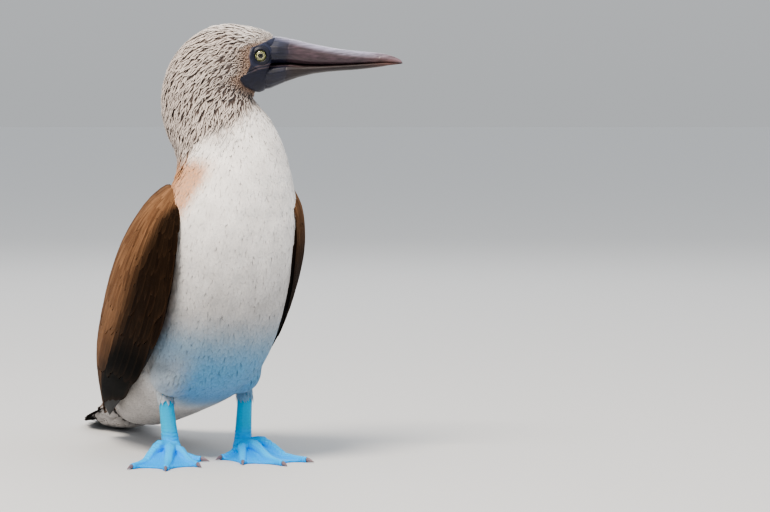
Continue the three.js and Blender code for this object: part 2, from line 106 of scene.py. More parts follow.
def head_mm(points):
    """The same points in the head's own directions: ahead, left and up."""
    away = (np.asarray(points, float) - neck_axis) / MM
    return np.stack([away @ AHEAD, away @ LEFTWARD, away[..., 2]], -1)


def head_place(ahead, left, up):
    """A place in metres from the head's own millimetres."""
    return neck_axis + (AHEAD * ahead + LEFTWARD * left + UP * up) * MM


def ramp(value, low, high):
    """A soft step from 0 at low to 1 at high; low may be the larger."""
    t = np.clip((np.asarray(value, float) - low) / (high - low), 0, 1)
    return t * t * (3 - 2 * t)


def within(value, start, full, late, end):
    """A soft patch: 0 up to start, 1 from full to late, 0 past end."""
    return ramp(value, start, full) * ramp(value, end, late)


def bell(value, width):
    """1 at 0, falling off softly on both sides over the width."""
    return np.exp(-(value / width) ** 2)


print("floor origin in mm:", np.round(floor_origin / MM, 1))

# %% [markdown]
# ## Camera
#
# The photograph looks at the bird from its front right, from a little above, through a long
# lens. The camera is placed so that the near eye falls on its own pixel at the bird's scale.

# %% Camera
PHOTO_SIZE = (770, 512)
EYE_PIXEL = (259.98, 55.86)
MM_PER_PIXEL = 0.85
CAMERA_AZIMUTH = math.radians(-22)
CAMERA_TILT = math.radians(3)
CAMERA_DISTANCE = 2.542
SCALE_DISTANCE = 2.6  # metres from the lens at which a pixel spans MM_PER_PIXEL
SENSOR_WIDTH = 36.0

look_level = np.array([-math.sin(CAMERA_AZIMUTH), math.cos(CAMERA_AZIMUTH), 0.0])
view_right = np.array([math.cos(CAMERA_AZIMUTH), math.sin(CAMERA_AZIMUTH), 0.0])
view_ahead = look_level * math.cos(CAMERA_TILT) - UP * math.sin(CAMERA_TILT)
view_up = look_level * math.sin(CAMERA_TILT) + UP * math.cos(CAMERA_TILT)
pixel = MM_PER_PIXEL * MM * CAMERA_DISTANCE / SCALE_DISTANCE
aim = (centre_of("eye_right")
       + view_right * (PHOTO_SIZE[0] / 2 - EYE_PIXEL[0]) * pixel
       - view_up * (PHOTO_SIZE[1] / 2 - EYE_PIXEL[1]) * pixel)
camera = bpy.data.objects.new("camera", bpy.data.cameras.new("camera"))
bpy.context.collection.objects.link(camera)
camera.data.sensor_width = SENSOR_WIDTH
camera.data.lens = SENSOR_WIDTH * SCALE_DISTANCE / (PHOTO_SIZE[0] * MM_PER_PIXEL * MM)
camera.data.clip_start = 0.1
camera.data.clip_end = 30
camera.location = Vector(aim - view_ahead * CAMERA_DISTANCE)
camera.rotation_mode = "QUATERNION"
camera.rotation_quaternion = Vector(view_ahead).to_track_quat("-Z", "Y")
bpy.context.scene.camera = camera
print("lens:", round(camera.data.lens, 1), "mm")

# %% [markdown]
# ## Colour and material helpers
#
# Colours are read off the bird as sRGB hex values, and shaders work in linear light, so one
# function turns them. Another adds a shader node with its settings and links. Most surfaces here
# take their colour from the piece's own tint and their relief from a pattern, so a third does that.

# %% Material helpers


def linear(hex_colour):
    """An sRGB hex colour as three linear values."""
    parts = [int(hex_colour[i:i + 2], 16) / 255 for i in (1, 3, 5)]
    return np.array([c / 12.92 if c <= 0.04045 else ((c + 0.055) / 1.055) ** 2.4 for c in parts])


def add_node(tree, kind, settings=(), links=()):
    """A shader node with its properties or socket values set and its inputs linked."""
    node = tree.nodes.new("ShaderNode" + kind)
    for name, value in dict(settings).items():
        if isinstance(name, str) and hasattr(node, name):
            setattr(node, name, value)
        else:
            node.inputs[name].default_value = value
    for name, source in dict(links).items():
        tree.links.new(source, node.inputs[name])
    return node


def new_material(name, shader_settings, hex_colour=None):
    """A material with one Principled shader, in one colour if given; its tree and the shader."""
    material = bpy.data.materials.new(name)
    material.use_nodes = True
    tree = material.node_tree
    tree.nodes.clear()
    shader = add_node(tree, "BsdfPrincipled", shader_settings)
    add_node(tree, "OutputMaterial", {}, {"Surface": shader.outputs["BSDF"]})
    if hex_colour:
        shader.inputs["Base Color"].default_value = (*linear(hex_colour), 1)
    return material, tree, shader


def tinted_finish(tree, shader, pattern, span, shades, relief, strength, depth):
    """The piece's tint, shaded by a pattern over its span, and a relief of some mm; its bump."""
    tint = add_node(tree, "Attribute", {"attribute_name": "Tint"})
    shade = add_node(tree, "MapRange",
                     {1: span[0], 2: span[1], 3: shades[0], 4: shades[1]}, {0: pattern})
    colour = add_node(tree, "VectorMath", {"operation": "SCALE"},
                      {0: tint.outputs["Color"], "Scale": shade.outputs[0]})
    bump = add_node(tree, "Bump", {"Strength": strength, "Distance": depth * MM},
                    {"Height": relief})
    tree.links.new(colour.outputs[0], shader.inputs["Base Color"])
    tree.links.new(bump.outputs["Normal"], shader.inputs["Normal"])
    return bump


# %% [markdown]
# ## Floor and light
#
# A plain pale floor that runs out into even pale air, and large soft lights: the key stands high
# on the camera's left, with a weak fill and a light from behind for the rims. The view's look has
# a little more contrast than the plain one, as the photograph has.

# %% Floor
FLOOR_SIZE = 60.0


def made_mesh(shape, name):
    """A new mesh from a bmesh, which is freed."""
    mesh = bpy.data.meshes.new(name)
    shape.to_mesh(mesh)
    shape.free()
    return mesh


# Matt paint has no gloss, so the floor keeps an even tone up to the horizon.
floor_shape = bmesh.new()
bmesh.ops.create_grid(floor_shape, x_segments=1, y_segments=1, size=FLOOR_SIZE)
floor = bpy.data.objects.new("studio_floor", made_mesh(floor_shape, "studio_floor"))
bpy.context.collection.objects.link(floor)
floor.data.materials.append(new_material("matt_studio_paint", {"Roughness": 0.85}, "#cfd0d1")[0])

# %% Lights
# Each light's place and width in metres, its watts and its colour.
LIGHTS = {
    "key_light": ((-1.5, -1.35, 3.0), 1.3, 150, "#fff3e4"),
    "fill_light": ((2.2, -2.2, 1.4), 2.4, 8, "#eaf1ff"),
    "back_light": ((0.9, 2.3, 2.0), 1.8, 16, "#ffffff"),
}
bird_middle = Vector((cad_low + cad_high) / 2)
for name, (place, size, watts, colour) in LIGHTS.items():
    lamp = bpy.data.lights.new(name, "AREA")
    lamp.shape = "DISK"
    lamp.size = size
    lamp.energy = watts
    lamp.color = linear(colour)
    light = bpy.data.objects.new(name, lamp)
    light.location = place
    light.rotation_mode = "QUATERNION"
    light.rotation_quaternion = (bird_middle - light.location).to_track_quat("-Z", "Y")
    bpy.context.collection.objects.link(light)
world = bpy.data.worlds.new("studio_air")
world.use_nodes = True
air = world.node_tree
backdrop = air.nodes["Background"]
backdrop.inputs["Color"].default_value = (*linear("#e9ecef"), 1)
direction = add_node(air, "TexCoord")
heights = add_node(air, "SeparateXYZ", {}, {0: direction.outputs["Generated"]})
glow = add_node(air, "MapRange", {1: 0.0, 2: 0.8, 3: 0.54, 4: 0.95}, {0: heights.outputs["Z"]})
air.links.new(glow.outputs[0], backdrop.inputs["Strength"])
bpy.context.scene.world = world
bpy.context.scene.view_settings.look = "AgX - Medium High Contrast"
print("lights:", ", ".join(LIGHTS))

# %% [markdown]
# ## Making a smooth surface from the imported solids
#
# The solids are faceted. A copy of them, with its doubles merged and grown a hair so that
# neighbours meet, is remeshed in small voxels and smoothed. That gives one closed organic
# surface of the same size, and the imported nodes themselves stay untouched.

# %% Mesh helpers


def link_piece(name, mesh, slot, material, *replaced):
    """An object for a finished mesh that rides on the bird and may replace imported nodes."""
    piece = bpy.data.objects.new(name, mesh)
    bpy.context.collection.objects.link(piece)
    mesh.materials.append(material)
    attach(piece, "root")
    if replaced:
        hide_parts(*replaced)
    return piece


def smooth_shaded(mesh):
    mesh.polygons.foreach_set("use_smooth", np.ones(len(mesh.polygons), bool))
    return mesh


def mesh_arrays(mesh):
    """A mesh's vertex places and normals as arrays."""
    both = []
    for kind in ("co", "normal"):
        values = np.empty(len(mesh.vertices) * 3)
        mesh.vertices.foreach_get(kind, values)
        both.append(values.reshape(-1, 3))
    return both


def set_places(mesh, places):
    mesh.vertices.foreach_set("co", np.ascontiguousarray(places, float).ravel())
    mesh.update()


def push_out(mesh, distance):
    """Every place moved along its normal by distance(places) millimetres."""
    places, normals = mesh_arrays(mesh)
    set_places(mesh, places + normals * np.reshape(distance(places), (-1, 1)) * MM)


def set_tint(mesh, colours, name="Tint"):
    """A colour for each vertex, for the material to read."""
    layer = mesh.color_attributes.new(name, "FLOAT_COLOR", "POINT")
    rgba = np.ones((len(mesh.vertices), 4))
    rgba[:, :3] = colours
    layer.data.foreach_set("color", rgba.ravel())


# %% Remeshing
MERGE_DISTANCE = 0.002


def largest_part(mesh):
    """The same mesh without any closed scrap inside or beside its main surface."""
    loose = bmesh.new()
    loose.from_mesh(mesh)
    seen, parts = set(), []
    for start in loose.verts:
        if start in seen:
            continue
        seen.add(start)
        members = [start]
        for vert in members:  # the list grows as neighbours are found
            for edge in vert.link_edges:
                other = edge.other_vert(vert)
                if other not in seen:
                    seen.add(other)
                    members.append(other)
        parts.append(members)
    for members in sorted(parts, key=len)[:-1]:
        bmesh.ops.delete(loose, geom=members, context="VERTS")
    loose.to_mesh(mesh)
    loose.free()
    return mesh


def remeshed(nodes, voxel, grow, smooth):
    """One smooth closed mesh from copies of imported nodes; sizes in millimetres."""
    together = bmesh.new()
    for node in nodes:
        part = bmesh.new()
        part.from_mesh(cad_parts[node].data)
        bmesh.ops.remove_doubles(part, verts=part.verts, dist=MERGE_DISTANCE * MM)
        part.normal_update()
        for vert in part.verts:
            vert.co += vert.normal * grow * MM
        single = made_mesh(part, "part")
        together.from_mesh(single)
        bpy.data.meshes.remove(single)
    raw = made_mesh(together, "raw")
    holder = bpy.data.objects.new("holder", raw)
    bpy.context.collection.objects.link(holder)
    remesh = holder.modifiers.new("remesh", "REMESH")
    remesh.mode = "VOXEL"
    remesh.voxel_size = voxel * MM
    soften = holder.modifiers.new("soften", "SMOOTH")
    soften.factor = 0.5
    soften.iterations = smooth
    graph = bpy.context.evaluated_depsgraph_get()
    made = bpy.data.meshes.new_from_object(holder.evaluated_get(graph))
    bpy.data.objects.remove(holder)
    bpy.data.meshes.remove(raw)
    return smooth_shaded(largest_part(made))


# %% [markdown]
# ## The bird's markings
#
# One function says what colour the plumage is at a place: dark-streaked buff head and neck, a
# white breast that turns grey below and under the tail with painted shade, painted blue light
# reflected from the feet on the lower belly, brown mantle and a tan patch at the shoulder. Skin
# and feathers both ask it, so they carry the same markings and painted light.

# %% Edges of the face and of the streaked neck
FACE_EDGE_HEIGHTS = (309, 312, 315.3, 321.8, 327.4, 333, 340.5, 347.5, 350.1, 357.1, 360)
FACE_EDGE_AHEAD = (34, 29, 22.8, 18.2, 25.7, 28.0, 26.8, 28.5, 35.5, 48.5, 52)
STREAK_AHEAD = (-50, -32.5, -24, -20, -11.6, 2.7, 17.7, 28.6, 45)
STREAK_HEIGHTS = (226, 234, 248, 260, 274, 280, 287, 300, 306)


def face_depth(points):
    """Millimetres ahead of the feathers' edge round the face: bare skin where positive."""
    head = head_mm(points)
    edge = np.interp(head[:, 2], FACE_EDGE_HEIGHTS, FACE_EDGE_AHEAD)
    return head[:, 0] - edge - np.clip(FACE_EDGE_HEIGHTS[0] - head[:, 2], 0, None) * 4


def streaked(points):
    """How far above the lower edge of the streaked neck a place lies, in mm."""
    head = head_mm(points)
    return head[:, 2] - np.interp(head[:, 0], STREAK_AHEAD, STREAK_HEIGHTS)


# %% Plumage colours
BACK_UP = np.array([0.0, 0.663, 0.749])
WHITE = linear("#fbf7f3")
WHITE_SHADE = linear("#ebe6e2")
# Painted shade: the grey that the lower breast and belly take, though the plumage there is white.
BELLY_PAINTED_SHADE = linear("#6f7074")
# Painted shade: grey on the white plumage under the rear of the body and under the tail.
UNDERSIDE_PAINTED_SHADE = linear("#b3aeab")
BUFF = linear("#ecdfd6")
BUFF_SHADE = linear("#2e1d1a")
RUST = linear("#b58f74")
ORANGE_TAN = linear("#d6955f")
# Painted reflection: blue light thrown up from the feet onto the white belly.
BELLY_REFLECTED_BLUE = linear("#3394c2")
MANTLE = linear("#62462f")
MANTLE_SHADE = linear("#2a1b13")


def blend(one, two, share):
    """Colour one, or one for each place, towards two by a share for each place."""
    share = np.asarray(share, float)[:, None]
    return one * (1 - share) + two * share


def paint(coat, area, tip, tip_share, shade, shade_share):
    """A coat's tip and shade colours blended towards a marking's over its area."""
    return blend(coat[0], tip, area * tip_share), blend(coat[1], shade, area * shade_share)


def on_back(points, normals):
    """1 on the brown back and mantle, 0 on the white underparts."""
    _, back, up = bird_mm(points).T
    rump = ramp(back, 120, 165) * ramp(normals[:, 2], -0.25, 0.1)
    end = ramp(back, 160, 185) * ramp(up, 14, 24)
    facing = np.maximum(ramp(normals @ BACK_UP, 0.3, 0.62), np.maximum(rump, end))
    return facing * ramp(up, 250, 236) * ramp(back, -22, -4)


def mottled(points):
    """Soft cloudy light and dark, from -1 to 1, in patches about two centimetres across."""
    waves = np.random.default_rng(7)
    total = np.zeros(len(points))
    for _ in range(8):
        way = waves.normal(0, 1, 3)
        turns = bird_mm(points) @ (way / np.linalg.norm(way)) * 2 * math.pi / waves.uniform(14, 34)
        total += np.sin(turns + waves.uniform(0, 2 * math.pi)) / 4
    return np.clip(total, -1, 1)


# %% Markings
CLOUDINESS = 0.11


def markings(points, normals):
    """Tip colour and shade colour of the plumage at each place."""
    ahead, _, head_up = head_mm(points).T
    left, back, up = bird_mm(points).T
    # Painted shade: the white vent under the rear of the body is greyed.
    vent = ramp(back, -10, 60) * ramp(up, 120, 60)
    # Painted shade: the breast greys towards the bottom and front.
    low = ramp(up, 232, 104) * ramp(back, 40, -20)
    # Painted reflection: blue light from the feet over the lower belly, weaker on the white thighs.
    thigh = ramp(up, 112, 84) * np.maximum(ramp(left, -20, -40), ramp(left, 44, 56))
    blue = (ramp(up, 140, 80) * ramp(np.abs(left), 66, 44) * ramp(back, 45, -10)
            * (1 - 0.65 * thigh))
    flank = ramp(np.abs(left), 46, 53) * within(up, 96, 118, 160, 185) * ramp(back, -78, -64)
    neck = ramp(streaked(points), -9, 9)
    shoulder = ramp(left, -10, -30) * within(up, 206, 224, 252, 268) * ramp(back, -80, -68)
    brow = np.maximum(ramp(head_up, 358, 367), ramp(ahead, 14, 32) * ramp(head_up, 346, 354))
    rusty = neck * ramp(face_depth(points), -12, -1) * ramp(head_up, 358, 348)
    coat = paint((WHITE, WHITE_SHADE), vent, UNDERSIDE_PAINTED_SHADE, 0.8, UNDERSIDE_PAINTED_SHADE * 0.7, 0.8)
    coat = paint(coat, low, BELLY_PAINTED_SHADE, 0.68, BELLY_PAINTED_SHADE * 0.85, 0.68)
    coat = coat[0] * (1 + CLOUDINESS * mottled(points)[:, None]), coat[1]
    coat = paint(coat, blue, BELLY_REFLECTED_BLUE, 0.74, BELLY_REFLECTED_BLUE * 0.8, 0.74)
    coat = paint(coat, flank, MANTLE * 1.6, 0.7, MANTLE_SHADE, 1)
    coat = paint(coat, on_back(points, normals), MANTLE, 1, MANTLE_SHADE, 1)
    coat = paint(coat, neck, BUFF, 1, BUFF_SHADE, 1)
    coat = paint(coat, shoulder, ORANGE_TAN, 0.85, MANTLE, 0.7)
    coat = paint(coat, neck * brow, WHITE, 0.9, BUFF * 0.6, 0.8)
    return paint(coat, rusty, RUST, 0.6, RUST * 0.5, 0.5)


# %% [markdown]
# ## Skin
#
# Under the plumage lies one skin, made from the torso, neck and head together so that no seam
# shows. It is drawn in by the depth of the coat, nothing on the bare face and most on the head
# and neck, so that the feathers' tips come out at the solids' outline.

# %% Depth of the coat and forms of the face
SKIN_VOXEL = 1.9
HEAD_COAT = 1.7
BODY_COAT = 1.25
SKIN_SLACK = 0.3
GAPE_LINE = ((47, 333.4), (33, 330.6), (23, 325.5))
GAPE_DEPTH = 0.55
SLATE = linear("#15172a")
SLATE_LIGHT = linear("#3a4058")
GAPE_SKIN = linear("#6a5a5c")


def coat_depth(points):
    """Depth of the plumage over the skin in mm."""
    height = bird_mm(points)[:, 2]
    depth = HEAD_COAT + (BODY_COAT - HEAD_COAT) * ramp(height, 300, 215)
    return depth * ramp(face_depth(points), 1.5, -3)


def line_distance(points, line):
    """Distance in mm, seen from the side of the head, to a line of (ahead, up) places."""
    head = head_mm(points)[:, [0, 2]]
    near = np.full(len(points), np.inf)
    for start, end in zip(np.array(line[:-1], float), np.array(line[1:], float)):
        along = end - start
        share = np.clip((head - start) @ along / (along @ along), 0, 1)
        near = np.minimum(near, np.linalg.norm(head - start - share[:, None] * along, axis=1))
    return near


def eye_distance(head):
    """Millimetres from the eye to places in the head's directions, seen from the side."""
    return np.hypot(head[:, 0] - EYE_ALONG - 0.8, head[:, 2] - EYE_HEIGHT)


def face_folds(points):
    """How far the bare face stands out, in mm: line of the mouth, lid folds, soft swellings."""
    head = head_mm(points)
    mouth = line_distance(points, GAPE_LINE)
    lips = 0.3 * bell(mouth - 1.6, 0.7) - GAPE_DEPTH * bell(mouth, 0.55)
    ring = eye_distance(head)
    mound = 0.55 * bell(ring - 9.0, 1.5) - 0.45 * bell(ring - 11.4, 0.8)
    crease = 0.12 * np.sin(ring * 2.6 + np.sin(head[:, 2] * 0.9) * 1.2)
    crease *= within(ring, 8, 11, 11, 20)
    side = ramp(np.abs(head[:, 1]), 4, 9)
    return (lips + mound + crease) * side * ramp(face_depth(points), -0.5, 1.5)


def face_colour(points):
    """Slate-blue bare skin, paler by the forehead and lids, with a pale line at the mouth."""
    head = head_mm(points)
    pale = 0.55 * ramp(head[:, 2], 346, 356) + 0.35 * bell(eye_distance(head) - 9.5, 1.6)
    lip = bell(line_distance(points, GAPE_LINE) - 1.1, 0.6) * ramp(head[:, 0], 26, 34)
    return blend(blend(SLATE, SLATE_LIGHT, np.clip(pale, 0, 1)), GAPE_SKIN, lip * 0.7)


# %% Skin
skin_mesh = remeshed(("torso", "neck", "head"), voxel=SKIN_VOXEL, grow=0.35, smooth=6)
push_out(skin_mesh, lambda places: -(coat_depth(places) + SKIN_SLACK))

# The face is divided twice more, fine enough for its folds.
finer = bmesh.new()
finer.from_mesh(skin_mesh)
for _ in range(2):
    finer.verts.index_update()
    bare = face_depth(np.array([vert.co for vert in finer.verts])) > -1.5
    edges = [edge for edge in finer.edges if all(bare[vert.index] for vert in edge.verts)]
    bmesh.ops.subdivide_edges(finer, edges=edges, cuts=1, use_grid_fill=True, smooth=0.6)
finer.to_mesh(skin_mesh)
finer.free()
push_out(smooth_shaded(skin_mesh), face_folds)
places, normals = mesh_arrays(skin_mesh)
tip_colour, shade_colour = markings(places, normals)
hide_colour = blend(shade_colour, tip_colour, ramp(streaked(places), 4, -8) * 0.7 + 0.12)
set_tint(skin_mesh, blend(hide_colour, face_colour(places), ramp(face_depth(places), -1.0, 0.2)))
print("skin:", sum(face.loop_total - 2 for face in skin_mesh.polygons), "triangles")

# %% Skin material
# Leathery skin with a fine pebbled grain, as wide as the dots on a booby's bare face, and a little
# cloudy. Under the coat only specks of it show.
FACE_GRAIN_MM = 0.9
CLOUD_MM = 5
hide, tree, shader = new_material("feathered_hide", {"Roughness": 0.5, "IOR": 1.45})
where = add_node(tree, "TexCoord")
cloud = add_node(tree, "TexNoise", {"Scale": 1 / (CLOUD_MM * MM), "Detail": 5},
                 {"Vector": where.outputs["Object"]})
grain = add_node(tree, "TexVoronoi", {"Scale": 1 / (FACE_GRAIN_MM * MM)},
                 {"Vector": where.outputs["Object"]})
tinted_finish(tree, shader, cloud.outputs["Fac"], span=(0.3, 0.7), shades=(0.75, 1.3),
              relief=grain.outputs["Distance"], strength=0.3, depth=0.2)
link_piece("skin", skin_mesh, "body_feather", hide, "torso", "neck", "head")

# %% [markdown]
# ## Vanes
#
# A feather is a shaft with a thin vane on each side. Here each one is a closed lens: two grids
# that share their rim, made once and repeated by array sums with its own root, bend and width.
# Small ones have a few dozen faces, because there are thousands.

# %% Vane template


def vane_template(along, across):
    """Places on a closed lens (along 0 to 1, across -1 to 1, side) and its triangles."""
    lens = bmesh.new()
    for side in (1, -1):
        made = bmesh.ops.create_grid(lens, x_segments=along, y_segments=across, size=0.5)["verts"]
        for vert in made:
            rim = max(abs(vert.co.x), abs(vert.co.y)) > 0.499
            vert.co.z = 0 if rim else side
        if side < 0:
            turned = list({face for vert in made for face in vert.link_faces})
            bmesh.ops.reverse_faces(lens, faces=turned)
    bmesh.ops.remove_doubles(lens, verts=lens.verts, dist=0.001)
    bmesh.ops.triangulate(lens, faces=lens.faces)
    spots = np.array([vert.co for vert in lens.verts])
    triangles = np.array([[vert.index for vert in face.verts] for face in lens.faces])
    lens.free()
    return spots[:, 0] + 0.5, spots[:, 1] * 2, spots[:, 2], triangles


def unit(vectors):
    return vectors / np.maximum(np.linalg.norm(vectors, axis=-1, keepdims=True), 1e-12)


# %% Joined vanes
OFBAKE_PATCH = 0.003
PIECE_LIMIT = 190000


def vane_piece(name, placed, template, tints, bake, material, slot, replaced=()):
    """Joined meshes of closed vanes from their places and colours, split under the limit."""
    along, across, side, triangles = template
    places, soft = placed
    # A vane whose faces point inwards has a negative volume: its corners are taken the other way.
    one, two, three = (places[:, triangles[:, i]] - places[:, :1] for i in range(3))
    inside_out = (one * np.cross(two, three)).sum((1, 2)) < 0
    turned = np.where(inside_out[:, None, None], triangles[None, :, ::-1], triangles[None])
    batch = PIECE_LIMIT // len(triangles)
    for start in range(0, len(places), batch):
        part = slice(start, start + batch)
        count = len(places[part])
        corners = (turned[part] + (np.arange(count) * len(along))[:, None, None]).reshape(-1)
        mesh = bpy.data.meshes.new(name)
        mesh.vertices.add(count * len(along))
        mesh.loops.add(len(corners))
        mesh.polygons.add(len(corners) // 3)
        mesh.loops.foreach_set("vertex_index", corners)
        mesh.polygons.foreach_set("loop_start", np.arange(0, len(corners), 3))
        set_places(smooth_shaded(mesh), places[part].reshape(-1, 3))
        set_tint(mesh, tints[part].reshape(-1, 3))
        flat = np.stack([across / 2, along - 0.5], -1)
        layers = {"OFBake": (bake[part][:, None] + flat * OFBAKE_PATCH).reshape(-1, 2),
                  "Vane": np.tile(flat + 0.5, (count, 1))}
        for layer, values in layers.items():
            mesh.uv_layers.new(name=layer).data.foreach_set("uv", values[corners].ravel())
        mesh.validate()
        if soft is not None:
            mesh.normals_split_custom_set_from_vertices(soft[part].reshape(-1, 3))
        label = name if len(places) <= batch else f"{name}_{start // batch + 1}"
        link_piece(label, mesh, slot, material, *(replaced if start == 0 else ()))
    print(name + ":", len(places), "vanes,", len(places) * len(triangles), "triangles")


def bent_vanes(template, spine, ups, half, outline, thick, camber, wave, rounding):
    """Places and soft normals of vanes on three-point shafts: spine (n, 3, 3), ups (n, 2, 3)."""
    along, across, side, _ = template
    u = along[None, :, None]
    root, middle, tip = (spine[:, i, None] for i in range(3))
    centre = root * (2 * u - 1) * (u - 1) + middle * 4 * u * (1 - u) + tip * u * (2 * u - 1)
    run = unit(root * (4 * u - 3) + middle * (4 - 8 * u) + tip * (4 * u - 1))
    up = ups[:, :1] * (1 - u) + ups[:, 1:] * u
    aside = unit(np.cross(up, run))
    up = np.cross(run, aside)
    wide = half[:, None] * outline(along)[None]
    phase = rng.random((len(spine), 1)) * 2 * math.pi
    sway = wave * np.sin(phase + along * 2.2 * math.pi) * np.sqrt(along)
    rise = side * thick / 2 - camber * (across ** 2) * wide
    soft = unit(up + aside * (across * rounding)[None, :, None]
                + run * rounding * 0.3 * (along[None, :, None] - 0.4))
    soft = soft * np.where(side < 0, -1, 1)[None, :, None]
    return centre + (aside * (across * wide + sway)[..., None] + up * rise[..., None]) * MM, soft


# %% [markdown]
# ## The lie of the plumage
#
# Feathers point away from the bill and down the body. A few known directions on head, neck and
# body are blended by nearness and laid into the surface, so that every feather has its own.

# %% Lie
HEAD_LIES = (
    ((49, 0, 358), (-1, 0, 0.1)), ((30, 0, 368), (-1, 0, 0.02)), ((5, 0, 368), (-1, 0, -0.1)),
    ((-18, 0, 361), (-0.85, 0, -0.5)), ((-34, 0, 345), (-0.5, 0, -0.85)),
    ((-46, 0, 322), (-0.1, 0, -1)), ((-48, 0, 295), (0.02, 0, -1)), ((-44, 0, 265), (0.05, 0, -1)),
    ((30, 12, 352), (-0.95, 0, -0.15)), ((22, 18, 340), (-0.8, 0, -0.55)),
    ((20, 16, 322), (-0.72, 0, -0.68)), ((2, 25, 345), (-0.85, 0, -0.5)),
    ((0, 26, 325), (-0.66, 0, -0.75)), ((-18, 24, 335), (-0.66, 0, -0.75)),
    ((-20, 26, 305), (-0.35, 0, -0.94)), ((34, 0, 309), (-0.8, 0, -0.6)),
    ((24, 12, 305), (-0.55, 0, -0.85)), ((26, 0, 300), (-0.2, 0, -1)),
    ((14, 20, 296), (-0.3, 0, -0.95)),
    ((30, 0, 282), (0.2, 0, -1)), ((0, 28, 290), (-0.1, 0, -1)), ((20, 24, 270), (0.1, 0, -1)),
)
BODY_LIES = (
    ((0, -90, 230), (0, -0.1, -1)), ((0, -92, 180), (0, 0.1, -1)), ((0, -85, 120), (0, 0.3, -1)),
    ((0, -50, 75), (0, 0.8, -0.6)), ((0, 10, 52), (0, 1, -0.15)), ((0, 90, 38), (0, 1, -0.1)),
    ((0, 180, 14), (0, 1, -0.08)), ((0, 10, 222), (0, 0.6, -0.8)), ((0, 60, 180), (0, 0.62, -0.78)),
    ((0, 130, 120), (0, 0.7, -0.7)), ((0, 190, 62), (0, 0.8, -0.5)), ((55, -20, 200), (0, 0.2, -1)),
    ((55, -20, 130), (0, 0.45, -0.9)), ((45, 60, 90), (0, 0.85, -0.5)),
)


def mirrored(lies):
    """The same places and directions on both sides."""
    both = []
    for place, way in lies:
        both.append((place, way))
        side = 1 if lies is HEAD_LIES else 0
        if place[side]:
            both.append((place[:side] + (-place[side],) + place[side + 1:], way))
    return np.array(both, float)


def head_way(ways):
    return ways[:, :1] * AHEAD + ways[:, 1:2] * LEFTWARD + ways[:, 2:] * UP


head_lies, body_lies = mirrored(HEAD_LIES), mirrored(BODY_LIES)
lie_places = np.vstack([
    neck_axis + head_way(head_lies[:, 0]) * MM, floor_origin + body_lies[:, 0] * MM])
lie_ways = unit(np.vstack([head_way(head_lies[:, 1]), body_lies[:, 1]]))


def lie_at(points, normals):
    """The way feathers point at each place, in the surface."""
    ways = np.zeros((len(points), 3))
    for place, way in zip(lie_places, lie_ways):
        near = 1 / (((points - place) ** 2).sum(1) + (6 * MM) ** 2) ** 2
        ways += near[:, None] * way
    ways = unit(ways)
    return unit(ways - normals * (ways * normals).sum(1)[:, None])


# %% Spreading roots over a surface


def scatter(mesh, spacing, keep):
    """Places spread evenly over a mesh, spacing(place) millimetres apart, with their normals."""
    mesh.calc_loop_triangles()
    corner = np.empty(len(mesh.loop_triangles) * 3, np.int64)
    mesh.loop_triangles.foreach_get("vertices", corner)
    corner = corner.reshape(-1, 3)
    spots, outs = mesh_arrays(mesh)
    triangle = spots[corner]
    sides = triangle[:, 1:] - triangle[:, :1]
    area = np.linalg.norm(np.cross(sides[:, 0], sides[:, 1]), axis=1) / 2
    middle = triangle.mean(1)
    wanted = keep(middle, unit(outs[corner].sum(1)))
    weight = area / (spacing(middle) * MM) ** 2 * wanted
    count = int(weight.sum() * 5)
    pick = rng.choice(len(weight), count, p=weight / weight.sum())
    share = rng.random((count, 2))
    over = share.sum(1) > 1
    share[over] = 1 - share[over]
    share = np.column_stack([1 - share.sum(1), share])
    found = (triangle[pick] * share[..., None]).sum(1)
    out = unit((outs[corner[pick]] * share[..., None]).sum(1))
    gap = np.broadcast_to(spacing(found) * MM, count)
    near = KDTree(count)
    for i, spot in enumerate(found):
        near.insert(spot, i)
    near.balance()
    free = np.ones(count, bool)
    chosen = []
    for i in range(count):
        if free[i]:
            chosen.append(i)
            for _, j, _ in near.find_range(found[i], gap[i]):
                free[j] = False
    return found[chosen], out[chosen]


def surface_of(mesh):
    """What finding the nearest place on a mesh takes: its tree, faces and smooth normals."""
    spots, outs = mesh_arrays(mesh)
    faces = [tuple(face.vertices) for face in mesh.polygons]
    return BVHTree.FromPolygons([tuple(spot) for spot in spots], faces), faces, outs


def nearest_on(surface, points):
    """The nearest place on a surface to each point, and its smooth normal there."""
    tree, faces, smooth = surface
    spots = np.empty((len(points), 3))
    outs = np.empty((len(points), 3))
    for i, point in enumerate(points):
        spot, _, face, _ = tree.find_nearest(point)
        spots[i] = spot
        outs[i] = smooth[list(faces[face])].mean(0)
    return spots, unit(outs)


# %% Unwrap of the skin
# Distance down a line from bill to tail, and the angle round it.
HEAD_LINE = ((55, 335), (5, 338), (-8, 300), (-6, 270))
BODY_LINE = ((0, -45, 240), (0, -45, 190), (0, 10, 130), (0, 80, 90), (0, 180, 45), (0, 230, 25))
line = np.vstack([[head_place(ahead, 0, up) for ahead, up in HEAD_LINE],
                  floor_origin + np.array(BODY_LINE, float) * MM])


